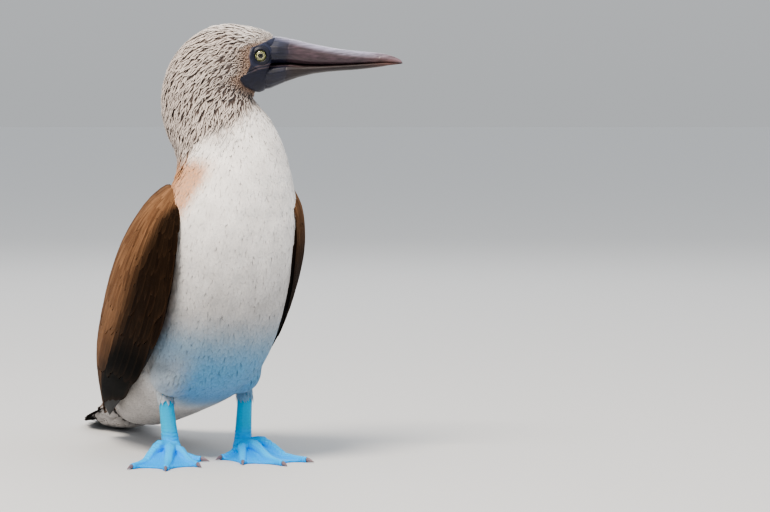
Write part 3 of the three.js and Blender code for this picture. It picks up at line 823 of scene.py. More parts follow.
def unwrapped(points):
    """Where each place lies on the unwrap: angle and distance, both 0 to 1."""
    best = np.full(len(points), np.inf)
    uv = np.zeros((len(points), 2))
    lengths = np.linalg.norm(np.diff(line, axis=0), axis=1)
    for i, length in enumerate(lengths):
        along = (line[i + 1] - line[i]) / length
        across = unit(np.cross(along, LEFTWARD if i < 3 else (1, 0, 0)))
        other = np.cross(along, across)
        away = points - line[i]
        reach = np.clip(away @ along, 0, length)
        gap = np.linalg.norm(away - reach[:, None] * along, axis=1)
        angle = np.arctan2(away @ across, away @ other) / (2 * math.pi) + 0.5
        value = np.column_stack([angle, (lengths[:i].sum() + reach) / lengths.sum()])
        closer = gap < best
        uv[closer] = value[closer]
        best = np.minimum(best, gap)
    return 0.003 + uv * 0.994


# %% [markdown]
# ## Feather material
#
# Keratin vanes: matt, with fine barbs that run out from the shaft at a slant. The barbs are a
# few tenths of a millimetre apart on the bird, too fine to show, so they are drawn coarser.

# %% Feather materials


def feather_material(name, barbs, strength, roughness, gloss, sheen, streaks):
    """Feather keratin: the vane's own tint, slanted barbs, and fine streaks along it."""
    material, tree, shader = new_material(name, {
        "Roughness": roughness, "IOR": 1.54, "Specular IOR Level": gloss,
        "Sheen Weight": sheen, "Sheen Roughness": 0.5})
    vane = add_node(tree, "UVMap", {"uv_map": "Vane"})
    parts = add_node(tree, "SeparateXYZ", {}, {0: vane.outputs["UV"]})
    centred = add_node(tree, "Math", {"operation": "SUBTRACT", 1: 0.5}, {0: parts.outputs["X"]})
    off_shaft = add_node(tree, "Math", {"operation": "ABSOLUTE"}, {0: centred.outputs[0]})
    slant = add_node(tree, "Math", {"operation": "MULTIPLY_ADD", 1: -0.5},
                     {0: off_shaft.outputs[0], 2: parts.outputs["Y"]})
    turns = add_node(tree, "Math", {"operation": "MULTIPLY", 1: barbs * 2 * math.pi},
                     {0: slant.outputs[0]})
    ridges = add_node(tree, "Math", {"operation": "SINE"}, {0: turns.outputs[0]})
    stretch = add_node(tree, "Mapping", {"Scale": (22, 1.5, 1)}, {"Vector": vane.outputs["UV"]})
    where = add_node(tree, "TexCoord")
    moved = add_node(tree, "VectorMath", {"operation": "MULTIPLY_ADD", 1: (40, 40, 40)},
                     {0: where.outputs["Object"], 2: stretch.outputs[0]})
    fine = add_node(tree, "TexNoise", {"Scale": 1.0, "Detail": 3}, {"Vector": moved.outputs[0]})
    tinted_finish(tree, shader, fine.outputs["Fac"], span=(0.25, 0.75),
                  shades=(1 - streaks, 1 + streaks), relief=ridges.outputs[0],
                  strength=strength, depth=0.12)
    return material


# Soft body feathers are matt and pale down to the skin, narrow head feathers a little glossier,
# and stiff flight feathers show many fine barbs and worn streaks.
down_feather = feather_material("soft_contour_feather", barbs=9, strength=0.2, roughness=0.85,
                                gloss=0.15, sheen=0.2, streaks=0.04)
head_feather = feather_material("narrow_head_feather", barbs=8, strength=0.3, roughness=0.75,
                                gloss=0.15, sheen=0.1, streaks=0.1)
flight_feather = feather_material("flight_feather_keratin", barbs=60, strength=0.4,
                                  roughness=0.65, gloss=0.04, sheen=0.0, streaks=0.5)

# %% [markdown]
# ## Planting a coat
#
# Every kind of small feather is planted the same way: roots spread over a surface, a shaft that
# follows the lie and rests on the surface at three places, and a tint that goes from a shaded
# base to a pale tip. Where a wing lies over the body nothing is planted.

# %% Laying feathers down
small_vane = vane_template(4, 2)
wing_trees = [surface_of(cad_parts[f"wing_{label}"].data)[0] for label in SIDES]


def wing_clear(points, outs, reach):
    """False where a wing covers the place."""
    return np.array([all(tree.ray_cast(Vector(point), Vector(out), reach * MM)[0] is None
                         for tree in wing_trees) for point, out in zip(points, outs)])


def laid_feathers(surface, roots, outs, sizes, outline, thick, camber, wave, jitter, rounding,
                  rise=(0.62, 1.0), lie=lie_at):
    """Vanes that lie along the coat from their roots: sizes are length, half width and lift."""
    way = lie(roots, outs)
    turn = rng.normal(0, jitter, len(roots))
    way = way * np.cos(turn)[:, None] + np.cross(outs, way) * np.sin(turn)[:, None]
    length, half, lift = sizes
    size = length[:, None] * MM
    middle, middle_out = nearest_on(surface, roots + way * size / 2)
    way_on = unit(way - middle_out * (way * middle_out).sum(1)[:, None])
    tip, tip_out = nearest_on(surface, middle + way_on * size / 2)
    height = lift[:, None] * MM
    spine = np.stack([roots - outs * 0.3 * MM, middle + middle_out * height * rise[0],
                      tip + tip_out * height * rise[1]], 1)
    ups = np.stack([outs, tip_out], 1)
    return bent_vanes(small_vane, spine, ups, half, outline, thick, camber, wave, rounding)


def coloured(tips, shades, start, end, edge, spread):
    """Tints from a shaded base and edges to a pale tip, a little different on each vane."""
    along, across = (part[None, :, None] for part in small_vane[:2])
    pale = ramp(along, start, end) * (1 - edge * np.abs(across) ** 1.5)
    vary = rng.uniform(1 - spread, 1 + spread * 0.4, (len(tips), 1, 1))
    return (shades[:, None] * (1 - pale) + tips[:, None] * pale) * vary


def sizes_between(lengths, halves, lifts, depth=lambda roots: 1.0):
    """A function for the sizes at some roots: the lifts are shares of depth(roots)."""
    return lambda roots: (rng.uniform(*lengths, len(roots)), rng.uniform(*halves, len(roots)),
                          depth(roots) * rng.uniform(*lifts, len(roots)))


def plant_coat(name, mesh, spacing, keep, sizes, pale, material, slot, colours=markings,
               wing_reach=0, **form):
    """One kind of small feather on a mesh, where keep(place, normal) is true.

    pale holds where a tint turns pale (start, end), how dark its edges stay and how much it
    varies; form is the shape and lie that laid_feathers takes.
    """
    roots, outs = scatter(mesh, spacing, keep)
    if wing_reach:
        clear = wing_clear(roots, outs, wing_reach)
        roots, outs = roots[clear], outs[clear]
    placed = laid_feathers(surface_of(mesh), roots, outs, sizes(roots), **form)
    tints = coloured(*colours(roots, outs), *pale)
    vane_piece(name, placed, small_vane, tints, unwrapped(roots), material, slot)


# %% [markdown]
# ## Head and neck feathers
#
# Narrow pointed feathers, pale down the middle and dark at the base and edges. Overlapping,
# they draw the dark-streaked pattern. They are smallest round the face.

# %% Head and neck feathers


def head_spacing(points):
    return 0.9 + 1.1 * ramp(-face_depth(points), 0, 24)


def head_sizes(roots):
    """Length, half width and lift, least beside the bare face."""
    far = -face_depth(roots)
    count = len(roots)
    return ((2.8 + 10.2 * ramp(far, 0, 28)) * rng.uniform(0.75, 1.25, count),
            (0.42 + 0.6 * ramp(far, 0, 26)) * rng.uniform(0.8, 1.2, count),
            coat_depth(roots) * rng.uniform(0.45, 1.2, count) + 0.15)


def on_head(points, outs):
    return (streaked(points) > -12) & (face_depth(points) < -0.6)


def lance(u):
    return 0.14 + 0.86 * np.sin(math.pi * u ** 0.75) ** 0.8


plant_coat("head_feathers", skin_mesh, head_spacing, on_head, head_sizes, (0.16, 0.55, 0.95, 0.16),
           head_feather, "head_feather", outline=lance, thick=0.3, camber=0.28, wave=0.8,
           jitter=0.2, rounding=0.7)

# %% [markdown]
# ## Breast, belly and back feathers
#
# Small, soft, rounded feathers. They lie so close that the breast reads as one smooth surface
# with a fine grain, so each vane's shading follows the body under it. On the back the feathers
# are larger and brown with paler edges.

# %% Body feathers
BODY_FORM = {"thick": 0.18, "camber": 0.05, "wave": 0.3}
WING_REACH = 9


def on_body(points, outs):
    return (streaked(points) < 2) & (face_depth(points) < -1)


def downy(u):
    bulge = np.sin(math.pi * (0.06 + 0.9 * u ** 0.8)) ** 0.8
    return 0.2 + 0.8 * bulge - 0.25 * ramp(u, 0.7, 1.0)


def round_tip(u, start, reach, least):
    """Full width up to start, then a rounded end."""
    return np.sqrt(np.clip(1 - np.clip((u - start) / reach, 0, None) ** 2, least, 1))


def rounded(u):
    return round_tip(u, 0.5, 0.52, 0.02) * (0.45 + 0.55 * ramp(u, 0, 0.4))


plant_coat("body_feathers", skin_mesh, lambda p: 1.4 + 0.35 * ramp(bird_mm(p)[:, 2], 130, 60),
           lambda p, n: on_body(p, n) & (on_back(p, n) < 0.5),
           sizes_between((8, 12), (1.0, 1.5), (0.62, 0.78), coat_depth), (0.2, 0.8, 0.14, 0.07),
           down_feather, "body_feather", wing_reach=WING_REACH, outline=downy, jitter=0.14,
           rounding=0.06, rise=(0.92, 0.84), **BODY_FORM)
plant_coat("back_feathers", skin_mesh, lambda p: 4.0,
           lambda p, n: on_body(p, n) & (on_back(p, n) > 0.4),
           sizes_between((14, 19), (3.6, 4.8), (0.7, 1.1), coat_depth), (0.55, 1.0, -0.25, 0.12),
           down_feather, "body_feather", wing_reach=WING_REACH, outline=rounded, jitter=0.08,
           rounding=0.35, **BODY_FORM)

# %% [markdown]
# ## Wings
#
# A folded wing shows its feathers in tiers: long primaries and secondaries, tertials over them,
# and rows of coverts, each over the next. They lie on the same curved surface as the packed
# wing, which is drawn through three rails, but there are more and finer of them.

# %% Wing surface
WING_LOWER = ((-44, -63, 226), (-52, -74, 200), (-55.5, -73, 165), (-58, -55, 125), (-59, -20, 91),
              (-57, 36, 61), (-50, 92, 43), (-44, 138, 28), (-40, 171, 17))
WING_BULGE = ((-50, -44, 236), (-84, -40, 214), (-104, -18, 184), (-107, 20, 152), (-103, 60, 120),
              (-95, 97, 92), (-80, 129, 66), (-60, 156, 42), (-42, 176, 24))
WING_UPPER = ((-44, -26, 236), (-46, 2, 226), (-50, 36, 201), (-50, 68, 174), (-46, 100, 147),
              (-41, 128, 120), (-36, 152, 91), (-34, 168, 60), (-36, 178, 28))
WING_DEPTHS = (8, 16, 22, 24, 22, 16, 10, 6, 3)
WING_TUCKS = {1: 7, -1: 0}
WING_RISES = {1: 16, -1: 0}
WING_STAND = 1.6


def rail(points, t):
    """Places on a centripetal curve through the points, at t from 0 to 1."""
    points = np.array(points, float)
    points = np.vstack([2 * points[0] - points[1], points, 2 * points[-1] - points[-2]])
    steps = np.linalg.norm(np.diff(points, axis=0), axis=1) ** 0.5
    t = np.clip(t, 0, 1) * (len(points) - 3)
    i = np.minimum(t.astype(int), len(points) - 4)
    w = (t - i)[..., None]
    a, b, c, d = points[i], points[i + 1], points[i + 2], points[i + 3]
    da, db, dc = steps[i][..., None], steps[i + 1][..., None], steps[i + 2][..., None]
    leave = ((b - a) / da - (c - a) / (da + db) + (c - b) / db) * db
    arrive = ((c - b) / db - (d - b) / (db + dc) + (d - c) / dc) * db
    return (b + leave * w + (-3 * b + 3 * c - 2 * leave - arrive) * w ** 2
            + (2 * b - 2 * c + leave + arrive) * w ** 3)


def wing_place(side, s, v):
    """Bird millimetres at s from shoulder to tip and v from the wing's lower edge to its upper."""
    tuck = WING_TUCKS[side] * np.sin(math.pi * np.clip(s * 1.15 - 0.15, 0, 1))
    v = v[..., None]
    here = (rail(WING_LOWER, s) * (1 - v) ** 2 + rail(WING_BULGE, s) * 2 * v * (1 - v)
            + rail(WING_UPPER, s) * v ** 2)
    rise = tuck * 0.8 * (1 - v[..., 0]) + WING_RISES[side] * np.clip(1 - s / 0.45, 0, None) ** 2
    return np.stack([side * (-here[..., 0] - tuck), here[..., 1], here[..., 2] + rise], -1)


def wing_surface(side, s, v):
    """Place, outward direction and width across the wing in mm."""
    low = np.clip(s, 0.01, 0.99)
    along = wing_place(side, low + 0.01, v) - wing_place(side, low - 0.01, v)
    across = wing_place(side, low, v + 0.01) - wing_place(side, low, v - 0.01)
    out = unit(np.cross(along, across))
    out = out * np.sign(out[..., :1] * side)
    return wing_place(side, s, v), out, np.linalg.norm(across, axis=-1) / 0.02


def in_metres(points):
    return floor_origin + points * MM


def facing(out, face):
    """Soft normals: outward on a vane's upper side and rim, inward on its underside."""
    return out * np.where(face < 0, -1, 1)[..., None]


# %% Wing flesh
WING_BROWN = linear("#61432f")
WING_WARM = linear("#8f6c50")
# Near black painted shade over the wing's dark brown plumage.
WING_PAINTED_SHADE_BLACK = linear("#050302")
CORE_END = 0.95


def wing_painted_shade(side, s, v):
    """How dark the wing's painted shade makes it: warm brown on its lit outer curve, near black at
    its lower front.
    """
    edge = 0.25 + 0.1 * ramp(s, 0.0, 0.35) - 0.18 * ramp(s, 0.12, 0.0)
    dark = ramp(v, edge + 0.06, edge - 0.14)
    late = ramp(s, 0.45, 0.85) * 0.6 + ramp(v, 0.5, 0.85) * 0.42
    return np.clip(dark * 0.92 * (ramp(s, 0.02, 0.3) if side > 0 else 1.0) + late, 0, 1)


def wing_colour(side, s, v, warm):
    dark = wing_painted_shade(side, s, v)[..., None]
    lit = WING_BROWN * (1 - warm) + WING_WARM * warm
    # The brown plumage blended towards near black painted shade.
    return lit * (1 - dark) + WING_PAINTED_SHADE_BLACK * dark


core = vane_template(40, 24)
for label, side in SIDES.items():
    u, v, face = core[0] * CORE_END, (core[1] + 1) / 2, core[2]
    place, out, _ = wing_surface(side, u, v)
    depth = np.interp(u, np.linspace(0, CORE_END, len(WING_DEPTHS)), WING_DEPTHS)
    depth = depth * (0.1 + 0.9 * np.sin(math.pi * v) ** 0.5)
    down = np.where(face > 0, 0, np.where(face < 0, depth, depth * 0.4))
    shape = in_metres(place - out * (WING_STAND + 0.4 + down)[:, None])
    tone = blend(wing_colour(side, u, v, 0) * 0.6, MANTLE * 0.9, ramp(v, 0.72, 0.9))
    vane_piece(f"wing_flesh_{label}", (shape[None], None), core, tone[None],
               np.full((1, 2), 0.5), down_feather, "wing_feather", (f"wing_{label}",))

# %% Rows of wing feathers
# Row: how many, roots and tips of its lowest and highest feather as (s, v), half width in mm, and
# how far it stands out. The last nine rows are coverts.
WING_ROWS = {
    "primaries": (10, ((0.5, 0.1), (0.56, 0.5)), ((0.76, 0.03), (0.995, 0.5)), 8, 0.3),
    "secondaries": (18, ((0.34, 0.1), (0.5, 0.8)), ((0.62, 0.02), (0.8, 0.8)), 6.8, 0.5),
    "tertials": (8, ((0.38, 0.7), (0.3, 0.94)), ((0.88, 0.66), (0.76, 0.98)), 8, 0.8),
    "greater": (24, ((0.24, 0.04), (0.34, 0.9)), ((0.47, 0.01), (0.6, 0.92)), 4.6, 0.55),
    "median": (26, ((0.19, 0.04), (0.27, 0.92)), ((0.39, 0.01), (0.52, 0.94)), 4.2, 0.6),
    "lesser": (27, ((0.15, 0.04), (0.21, 0.92)), ((0.325, 0.01), (0.45, 0.95)), 3.8, 0.6),
    "upper": (28, ((0.11, 0.04), (0.16, 0.92)), ((0.265, 0.01), (0.385, 0.95)), 3.5, 0.6),
    "elbow": (27, ((0.08, 0.04), (0.115, 0.92)), ((0.21, 0.01), (0.32, 0.95)), 3.3, 0.6),
    "shoulder": (26, ((0.05, 0.05), (0.075, 0.92)), ((0.16, 0.01), (0.255, 0.95)), 3.1, 0.6),
    "marginal": (24, ((0.025, 0.06), (0.04, 0.92)), ((0.115, 0.02), (0.19, 0.95)), 3.0, 0.6),
    "front": (21, ((0.005, 0.08), (0.01, 0.92)), ((0.075, 0.02), (0.13, 0.95)), 2.9, 0.6),
    "edge": (17, ((0.0, 0.14), (0.0, 0.88)), ((0.04, 0.04), (0.075, 0.94)), 2.9, 0.6),
}
quill = vane_template(12, 4)


def rounded_vane(u):
    return round_tip(u, 0.62, 0.4, 0.03) * (0.75 + 0.25 * np.clip(u * 3, 0, 1))


def wing_row(side, count, roots_sv, tips_sv, half, raised):
    """One row's places in metres, soft normals, tints and roots on the unwrap."""
    share = np.linspace(0, 1, count)[:, None]
    root_sv, tip_sv = (np.array(low) * (1 - share) + np.array(high) * share
                       for low, high in (roots_sv, tips_sv))
    tip_sv = tip_sv + rng.normal(0, 0.01, tip_sv.shape)
    tip_sv[:, 0] = np.minimum(tip_sv[:, 0], 0.997)
    u, v, face = (part[None] for part in quill[:3])
    s, middle = (root_sv[:, i:i + 1] * (1 - u) + tip_sv[:, i:i + 1] * u for i in (0, 1))
    chord = wing_surface(side, s, middle)[2]
    wide = half * rng.uniform(0.93, 1.07, (count, 1)) * rounded_vane(u)
    place, out, _ = wing_surface(side, s, middle + v * wide / chord)
    shaft = 0.22 * bell(v, 0.2) * (1 - u)
    sunk = 2.2 * (1 - np.clip(u / 0.3, 0, 1)) ** 2
    lift = raised * u - WING_STAND + 0.5 - v * 0.22 - 0.25 * v ** 2 - sunk + shaft
    thick = 0.34 * (1 - 0.6 * np.abs(v))
    places = in_metres(place + out * (lift + face * thick / 2)[..., None])
    colour = wing_colour(side, s, middle, rng.uniform(0.1, 0.9, (count, 1, 1)))
    colour = colour * rng.uniform(0.88, 1.12, (count, 1, 1))
    fringe = ramp(np.maximum(np.abs(v), (u - 0.5) * 2), 0.75, 1.0)[..., None] * 0.24
    tints = colour * (1 - fringe) + (colour * 0.7 + WING_WARM * 0.3) * fringe
    return places, facing(out, face), tints, 0.01 + 0.98 * root_sv


# %% Scapulars, and the wings put together
SCAPULARS = 16
SCAPULAR_ROWS = ((3, 0.17), (10, 0.15))
SCAPULAR_EDGE = linear("#b99a80")


def scapular_row(side, row, inward, reach):
    """A row that bridges the wing's upper edge and the back, as wing_row gives one."""
    share = np.linspace(0, 1, SCAPULARS)[:, None]
    u, v, face = (part[None] for part in quill[:3])
    s = 0.07 + 0.46 * share + reach * u + rng.normal(0, 0.004, (SCAPULARS, 1))
    edge = np.full(s.shape, 0.97)
    upper, out, _ = wing_surface(side, s, edge)
    over = unit(out * 0.5 + BACK_UP)
    along = unit(wing_place(side, s + 0.01, edge) - upper)
    across = unit(np.cross(over, along)) * side
    front = ramp(share, 0.35, 0)
    half = rng.uniform(6, 7.5, (SCAPULARS, 1)) * rounded_vane(u) * (1 - 0.4 * front)
    rise = (-3.5 * (1 - u) ** 2 + 0.6 + 0.9 * u - 0.5 * v ** 2 + row * 0.4 + face * 0.17
            - 3.2 * front - 0.12 * half * np.clip(-v * side, 0, 1))
    spot = upper + across * (v * half + inward)[..., None] + over * rise[..., None]
    spot[..., 0] -= side * inward * 0.3
    warm = rng.uniform(0, 0.4, (SCAPULARS, 1, 1))
    brown = (WING_BROWN * (1 - warm) + WING_WARM * warm) * (0.45 + 0.15 * row)
    fringe = ramp(np.maximum(np.abs(v), (u - 0.45) * 1.9), 0.7, 1.0)[..., None] * 0.2
    tints = brown * (1 - fringe) + SCAPULAR_EDGE * fringe
    bake = np.column_stack([0.02 + 0.5 * share[:, 0], np.full(SCAPULARS, 0.97 + row * 0.02)])
    return in_metres(spot), facing(over, face), tints, bake


for label, side in SIDES.items():
    rows = [wing_row(side, *facts) for facts in WING_ROWS.values()]
    rows += [scapular_row(side, row, *facts) for row, facts in enumerate(SCAPULAR_ROWS)]
    places, softs, tints, bake = (np.concatenate(part) for part in zip(*rows))
    vane_piece(f"wing_feathers_{label}", (places, softs), quill, tints, bake, flight_feather,
               "wing_feather")

# %% [markdown]
# ## Tail
#
# Fourteen narrow tail feathers in a wedge, the middle pair longest and on top, laid down to the
# floor. Smaller coverts hide their roots above and below, brown on top and, as painted shade,
# grey beneath.

# %% Tail core and coverts
TAIL_DARK = linear("#170f0c")
TAIL_PALE = linear("#6a584c")

tail_core = remeshed(("tail",), voxel=1.6, grow=0.0, smooth=10)
push_out(tail_core, lambda places: -1.0)
set_tint(tail_core, TAIL_DARK)
tail_core.uv_layers.new(name="Vane")
link_piece("tail_flesh", tail_core, "tail_feather", down_feather, "tail")


def tail_markings(roots, outs):
    """Tip and shade colours of the coverts, with painted shade making them grey beneath."""
    # Painted shade: grey where the coverts face down.
    under = ramp(outs[:, 2], 0.15, -0.2)
    return blend(MANTLE, UNDERSIDE_PAINTED_SHADE, under), blend(MANTLE_SHADE, UNDERSIDE_PAINTED_SHADE * 0.6, under)


plant_coat("tail_coverts", tail_core, lambda p: 3.4,
           lambda p, n: (bird_mm(p)[:, 1] < 238) & (np.abs(n[:, 1]) < 0.8),
           sizes_between((15, 24), (2.4, 3.6), (0.9, 1.5)), (0.3, 0.9, 0.1, 0.12),
           down_feather, "tail_feather", tail_markings, outline=rounded, thick=0.26, camber=0.06,
           wave=0.3, jitter=0.1, rounding=0.25)

# %% Tail feathers
TAIL_PAIRS = 7
TAIL_LENGTH, TAIL_STEP = 132, 11
TAIL_FAN = math.radians(2.8)
TAIL_ROOT = (196, 33)
TAIL_HALF_WIDTH = 8.5

places, tints, bake = [], [], []
u, v, face = quill[:3]
for pair in range(TAIL_PAIRS):
    for side in SIDES.values():
        fan = side * (pair + 0.5) * TAIL_FAN + rng.normal(0, 0.006)
        length = TAIL_LENGTH - TAIL_STEP * pair + rng.uniform(-2, 2)
        half = TAIL_HALF_WIDTH * np.clip(1 - np.clip((u - 0.55) / 0.45, 0, None) ** 1.7, 0.06, 1)
        down = np.clip(1 - u * length / TAIL_LENGTH, 0, 1) ** 1.6
        level = 0.25 + (TAIL_ROOT[1] - 0.2) * down + (TAIL_PAIRS - 1 - pair) * 0.9 * (1 - u ** 2)
        shaft = 0.35 * bell(v, 0.2) * (1 - u)
        up = level - side * v * 0.5 * (1 - u) + 0.8 + shaft + face * 0.25 * (1 - 0.6 * np.abs(v))
        left = side * (2 + pair * 1.5) + math.sin(fan) * length * u + math.cos(fan) * v * half
        back = TAIL_ROOT[0] + math.cos(fan) * length * u - math.sin(fan) * v * half
        places.append(in_metres(np.stack([left, back, up], -1)))
        tone = blend(TAIL_DARK, TAIL_PALE, 0.55 * math.exp(-pair / 1.2) * ramp(u, 1.0, 0.3))
        rim = 1 + 0.25 * ramp(np.abs(v), 0.7, 1.0)[:, None]
        tints.append(tone * rim * rng.uniform(0.9, 1.1))
        bake.append((0.5 + side * (pair + 0.5) / 30, 0.9))
vane_piece("tail_feathers", (np.array(places), None), quill, np.array(tints), np.array(bake),
           flight_feather, "tail_feather")

# %% [markdown]
# ## Bill
#
# A long straight cone of horn: a hooked upper half with a groove along each side below its
# ridge, and a lower half, both finely streaked. A booby's nostrils are closed from outside. The
# horn is smooth and faintly waxy, so it has a soft gloss and streaks that run along it.

# %% Bill horn
# A painted highlight: the sky's light lilac along the bill's ridge.
BILL_RIDGE_HIGHLIGHT = linear("#9694a8")
BILL_SIDE = linear("#42333a")
BILL_LOW = linear("#241a1b")
BILL_TIP = linear("#63423c")
MOUTH_PAINTED_SHADE = linear("#0c0808")
NASAL_GROOVE = ((58, 348.6), (72, 346), (102, 342), (134, 339.8))
MOUTH_LINE = ((43.6, 333.2), (56.7, 334.3), (76, 332.9), (97.5, 333), (117, 334), (133, 334.8),
              (145, 335), (153.6, 334.2))
RIDGE_LINE = ((48, 357.3), (61, 354.7), (82, 349.7), (102, 346.2), (121, 344.3), (136, 342.9),
              (146, 340.1), (153, 337))
STREAK_MM = (30, 1.6, 1.6)

bill_horn, tree, shader = new_material("bill_horn", {"Roughness": 0.42, "IOR": 1.54})
where = add_node(tree, "TexCoord")
turn = add_node(tree, "Mapping", {"Rotation": (0, 0, -math.atan2(AHEAD[1], AHEAD[0])),
                                            "Scale": [1 / (mm * MM) for mm in STREAK_MM]},
                {"Vector": where.outputs["Object"]})
streaks = add_node(tree, "TexNoise", {"Scale": 1.0, "Detail": 4},
                   {"Vector": turn.outputs[0]}).outputs["Fac"]
tinted_finish(tree, shader, streaks, span=(0.3, 0.7), shades=(0.6, 1.45), relief=streaks,
              strength=0.3, depth=0.15)

# %% Bill
# The base runs on into the face, a soft suture parts it from the horn, and grooves run along the
# sides. The lower half's rim lies inside the upper's.
for node in ("bill_upper", "bill_lower"):
    upper = node == "bill_upper"
    mesh = remeshed((node,), voxel=0.55, grow=0.17, smooth=3)
    places, normals = mesh_arrays(mesh)
    ahead, left, up = head_mm(places).T
    base = ramp(ahead - 0.2 * (up - 335), 48, 44)
    suture = ahead - 57.5 - 0.1 * (up - 335) - 0.6 * np.sin(up * 0.7)
    mouth = line_distance(places, MOUTH_LINE)
    depth = -0.14 * bell(suture, 0.7) - 0.12 * bell(mouth - 2.2, 0.5) * ramp(suture, 0, 3)
    if upper:
        depth -= 0.4 * bell(line_distance(places, NASAL_GROOVE), 0.7) * ramp(ahead, 58, 62)
        tuck = 0
    else:
        tuck = bell(mouth, 1.3)[:, None] * (UP * 0.55 - LEFTWARD * np.sign(left)[:, None] * 0.45)
    set_places(mesh, places + (normals * depth[:, None] + tuck - AHEAD * base[:, None] * 5) * MM)
    ridge = np.interp(ahead, *zip(*RIDGE_LINE))
    # Painted highlight along the top of the upper half.
    colour = blend(BILL_SIDE, BILL_RIDGE_HIGHLIGHT, ramp(up, ridge - 6, ridge)) if upper else BILL_LOW
    colour = blend(colour, BILL_TIP, ramp(ahead, 118, 150) * 0.75)
    slate = blend(SLATE, SLATE_LIGHT, 0.55 * ramp(up, 346, 356))
    # The painted highlight runs on over the top of the slate base.
    if upper:
        slate = blend(slate, BILL_RIDGE_HIGHLIGHT, ramp(up, ridge - 5, ridge) * ramp(ahead, 44, 56) * 0.7)
    horn = 0.25 * ramp(suture, -0.8, 0.8) + 0.75 * ramp(suture, -6, 9)
    colour = blend(slate, colour, horn)
    if not upper:
        colour = blend(colour, GAPE_SKIN, bell(mouth - 1.5, 0.5) * ramp(ahead, 74, 60) * 0.6)
    # Painted shade: near black along the mouth line, in the crease where the halves meet.
    set_tint(mesh, blend(colour, MOUTH_PAINTED_SHADE, bell(mouth, 0.5) * 0.85))
    link_piece(node + "_horn", mesh, "bill_horn", bill_horn, node)
    print(node, len(mesh.polygons), "faces")

# %% [markdown]
# ## Eyes
#
# A pale yellow iris with a small round pupil, a clear cornea over it, and a ring of dark skin
# with a fold above and below. The eye sits in its socket with only its front showing.

# %% Eyes
EYE_SIDE = 13.9
IRIS_RADIUS = 4.7
PUPIL_RADIUS = 2.0
LID_OPENING = 5.0
IRIS_RINGS = ("#d9d69a", "#b9bd7e", "#e6e3b8", "#15161c")  # middle, outer, inner, rim


def eye_frame(side):
    """A matrix that stands a shape's z axis on the eye's outward direction, in metres."""
    out = unit(LEFTWARD * side + AHEAD * 0.12)
    across = unit(np.cross(UP, out))
    up = np.cross(out, across)
    place = head_place(EYE_ALONG, EYE_SIDE * side, EYE_HEIGHT)
    return Matrix(np.vstack([np.column_stack([across, up, out, place]), (0, 0, 0, 1)]))


def spun(name, profile, steps, side, material, *replaced):
    """A round piece spun from (radius, height) millimetres about the eye's axis."""
    shape = bmesh.new()
    verts = [shape.verts.new((max(radius, 0) * MM, 0, height * MM)) for radius, height in profile]
    edges = [shape.edges.new(pair) for pair in zip(verts, verts[1:])]
    bmesh.ops.spin(shape, geom=verts + edges, axis=(0, 0, 1), cent=(0, 0, 0), steps=steps,
                   angle=2 * math.pi)
    bmesh.ops.remove_doubles(shape, verts=shape.verts, dist=0.0005 * MM)
    bmesh.ops.recalc_face_normals(shape, faces=shape.faces)
    bmesh.ops.transform(shape, matrix=eye_frame(side), verts=shape.verts)
    return link_piece(name, smooth_shaded(made_mesh(shape, name)), "eye", material, *replaced)


def ball_arc(radius, start, end, steps):
    """(radius, height) places on a ball's outline between two distances from its axis."""
    angles = np.linspace(math.asin(start / radius), math.asin(end / radius), steps)
    return [(radius * math.sin(a), radius * math.cos(a)) for a in angles]


# The iris is moist tissue and takes its rings from its tint. The pupil is an opening, so nearly
# black. The cornea is clear and wet, and gives the eye its one sharp glint. Lids are bare skin.
iris_tissue, tree, shader = new_material("iris_tissue", {"Roughness": 0.35})
where = add_node(tree, "Attribute", {"attribute_name": "Tint"})
tree.links.new(where.outputs["Color"], shader.inputs["Base Color"])
pupil_black = new_material("pupil_opening", {"Roughness": 0.2}, "#070707")[0]
cornea = new_material("wet_cornea", {"Roughness": 0.02, "IOR": 1.376,
                                     "Transmission Weight": 1.0})[0]
lid_skin = new_material("eyelid_skin", {"Roughness": 0.45, "IOR": 1.45}, "#1a1c2c")[0]

# %% Shapes of the eye
IRIS_PROFILE = [(0, 6.2), *ball_arc(6.3, 0.6, 6.1, 16), (6.0, -1), (0, -2)]
PUPIL_PROFILE = [(0, 6.36), *ball_arc(6.36, 0.3, PUPIL_RADIUS, 5), (PUPIL_RADIUS, 5.4), (0, 5.3)]
CORNEA_PROFILE = [(0, 7.3), *ball_arc(7.3, 0.5, 6.2, 14), (6.1, 2.6),
                  *ball_arc(6.6, 0.5, 6.0, 12)[::-1], (0, 6.6)]
LID_PROFILE = [(LID_OPENING + out, height) for out, height in (
    (0, 5.2), (-0.05, 5.9), (0.35, 6.35), (1.0, 6.3), (1.5, 5.85), (1.9, 5.75), (2.4, 5.5),
    (3.3, 4.2), (3.6, 2.5), (2.0, 1.5), (0, 5.2))]

for label, side in SIDES.items():
    eye = spun(f"iris_{label}", IRIS_PROFILE, 48, side, iris_tissue, f"eye_{label}")
    local = np.array(eye_frame(side).inverted())
    places = mesh_arrays(eye.data)[0]
    radius = np.linalg.norm(places @ local[:2, :3].T + local[:2, 3], axis=1) / MM
    middle, outer, inner, rim = (linear(ring) for ring in IRIS_RINGS)
    tone = blend(middle, outer, ramp(radius, 3.0, 4.1))
    tone = blend(tone, inner, ramp(radius, 3.0, 2.0) * 0.6)
    tone = blend(tone, rim, ramp(radius, IRIS_RADIUS - 0.35, IRIS_RADIUS + 0.1))
    set_tint(eye.data, tone)
    spun(f"pupil_{label}", PUPIL_PROFILE, 32, side, pupil_black)
    spun(f"cornea_{label}", CORNEA_PROFILE, 48, side, cornea)
    spun(f"lids_{label}", LID_PROFILE, 56, side, lid_skin)
print("eyes:", PUPIL_RADIUS * 2, "mm pupil in a", IRIS_RADIUS * 2, "mm iris")

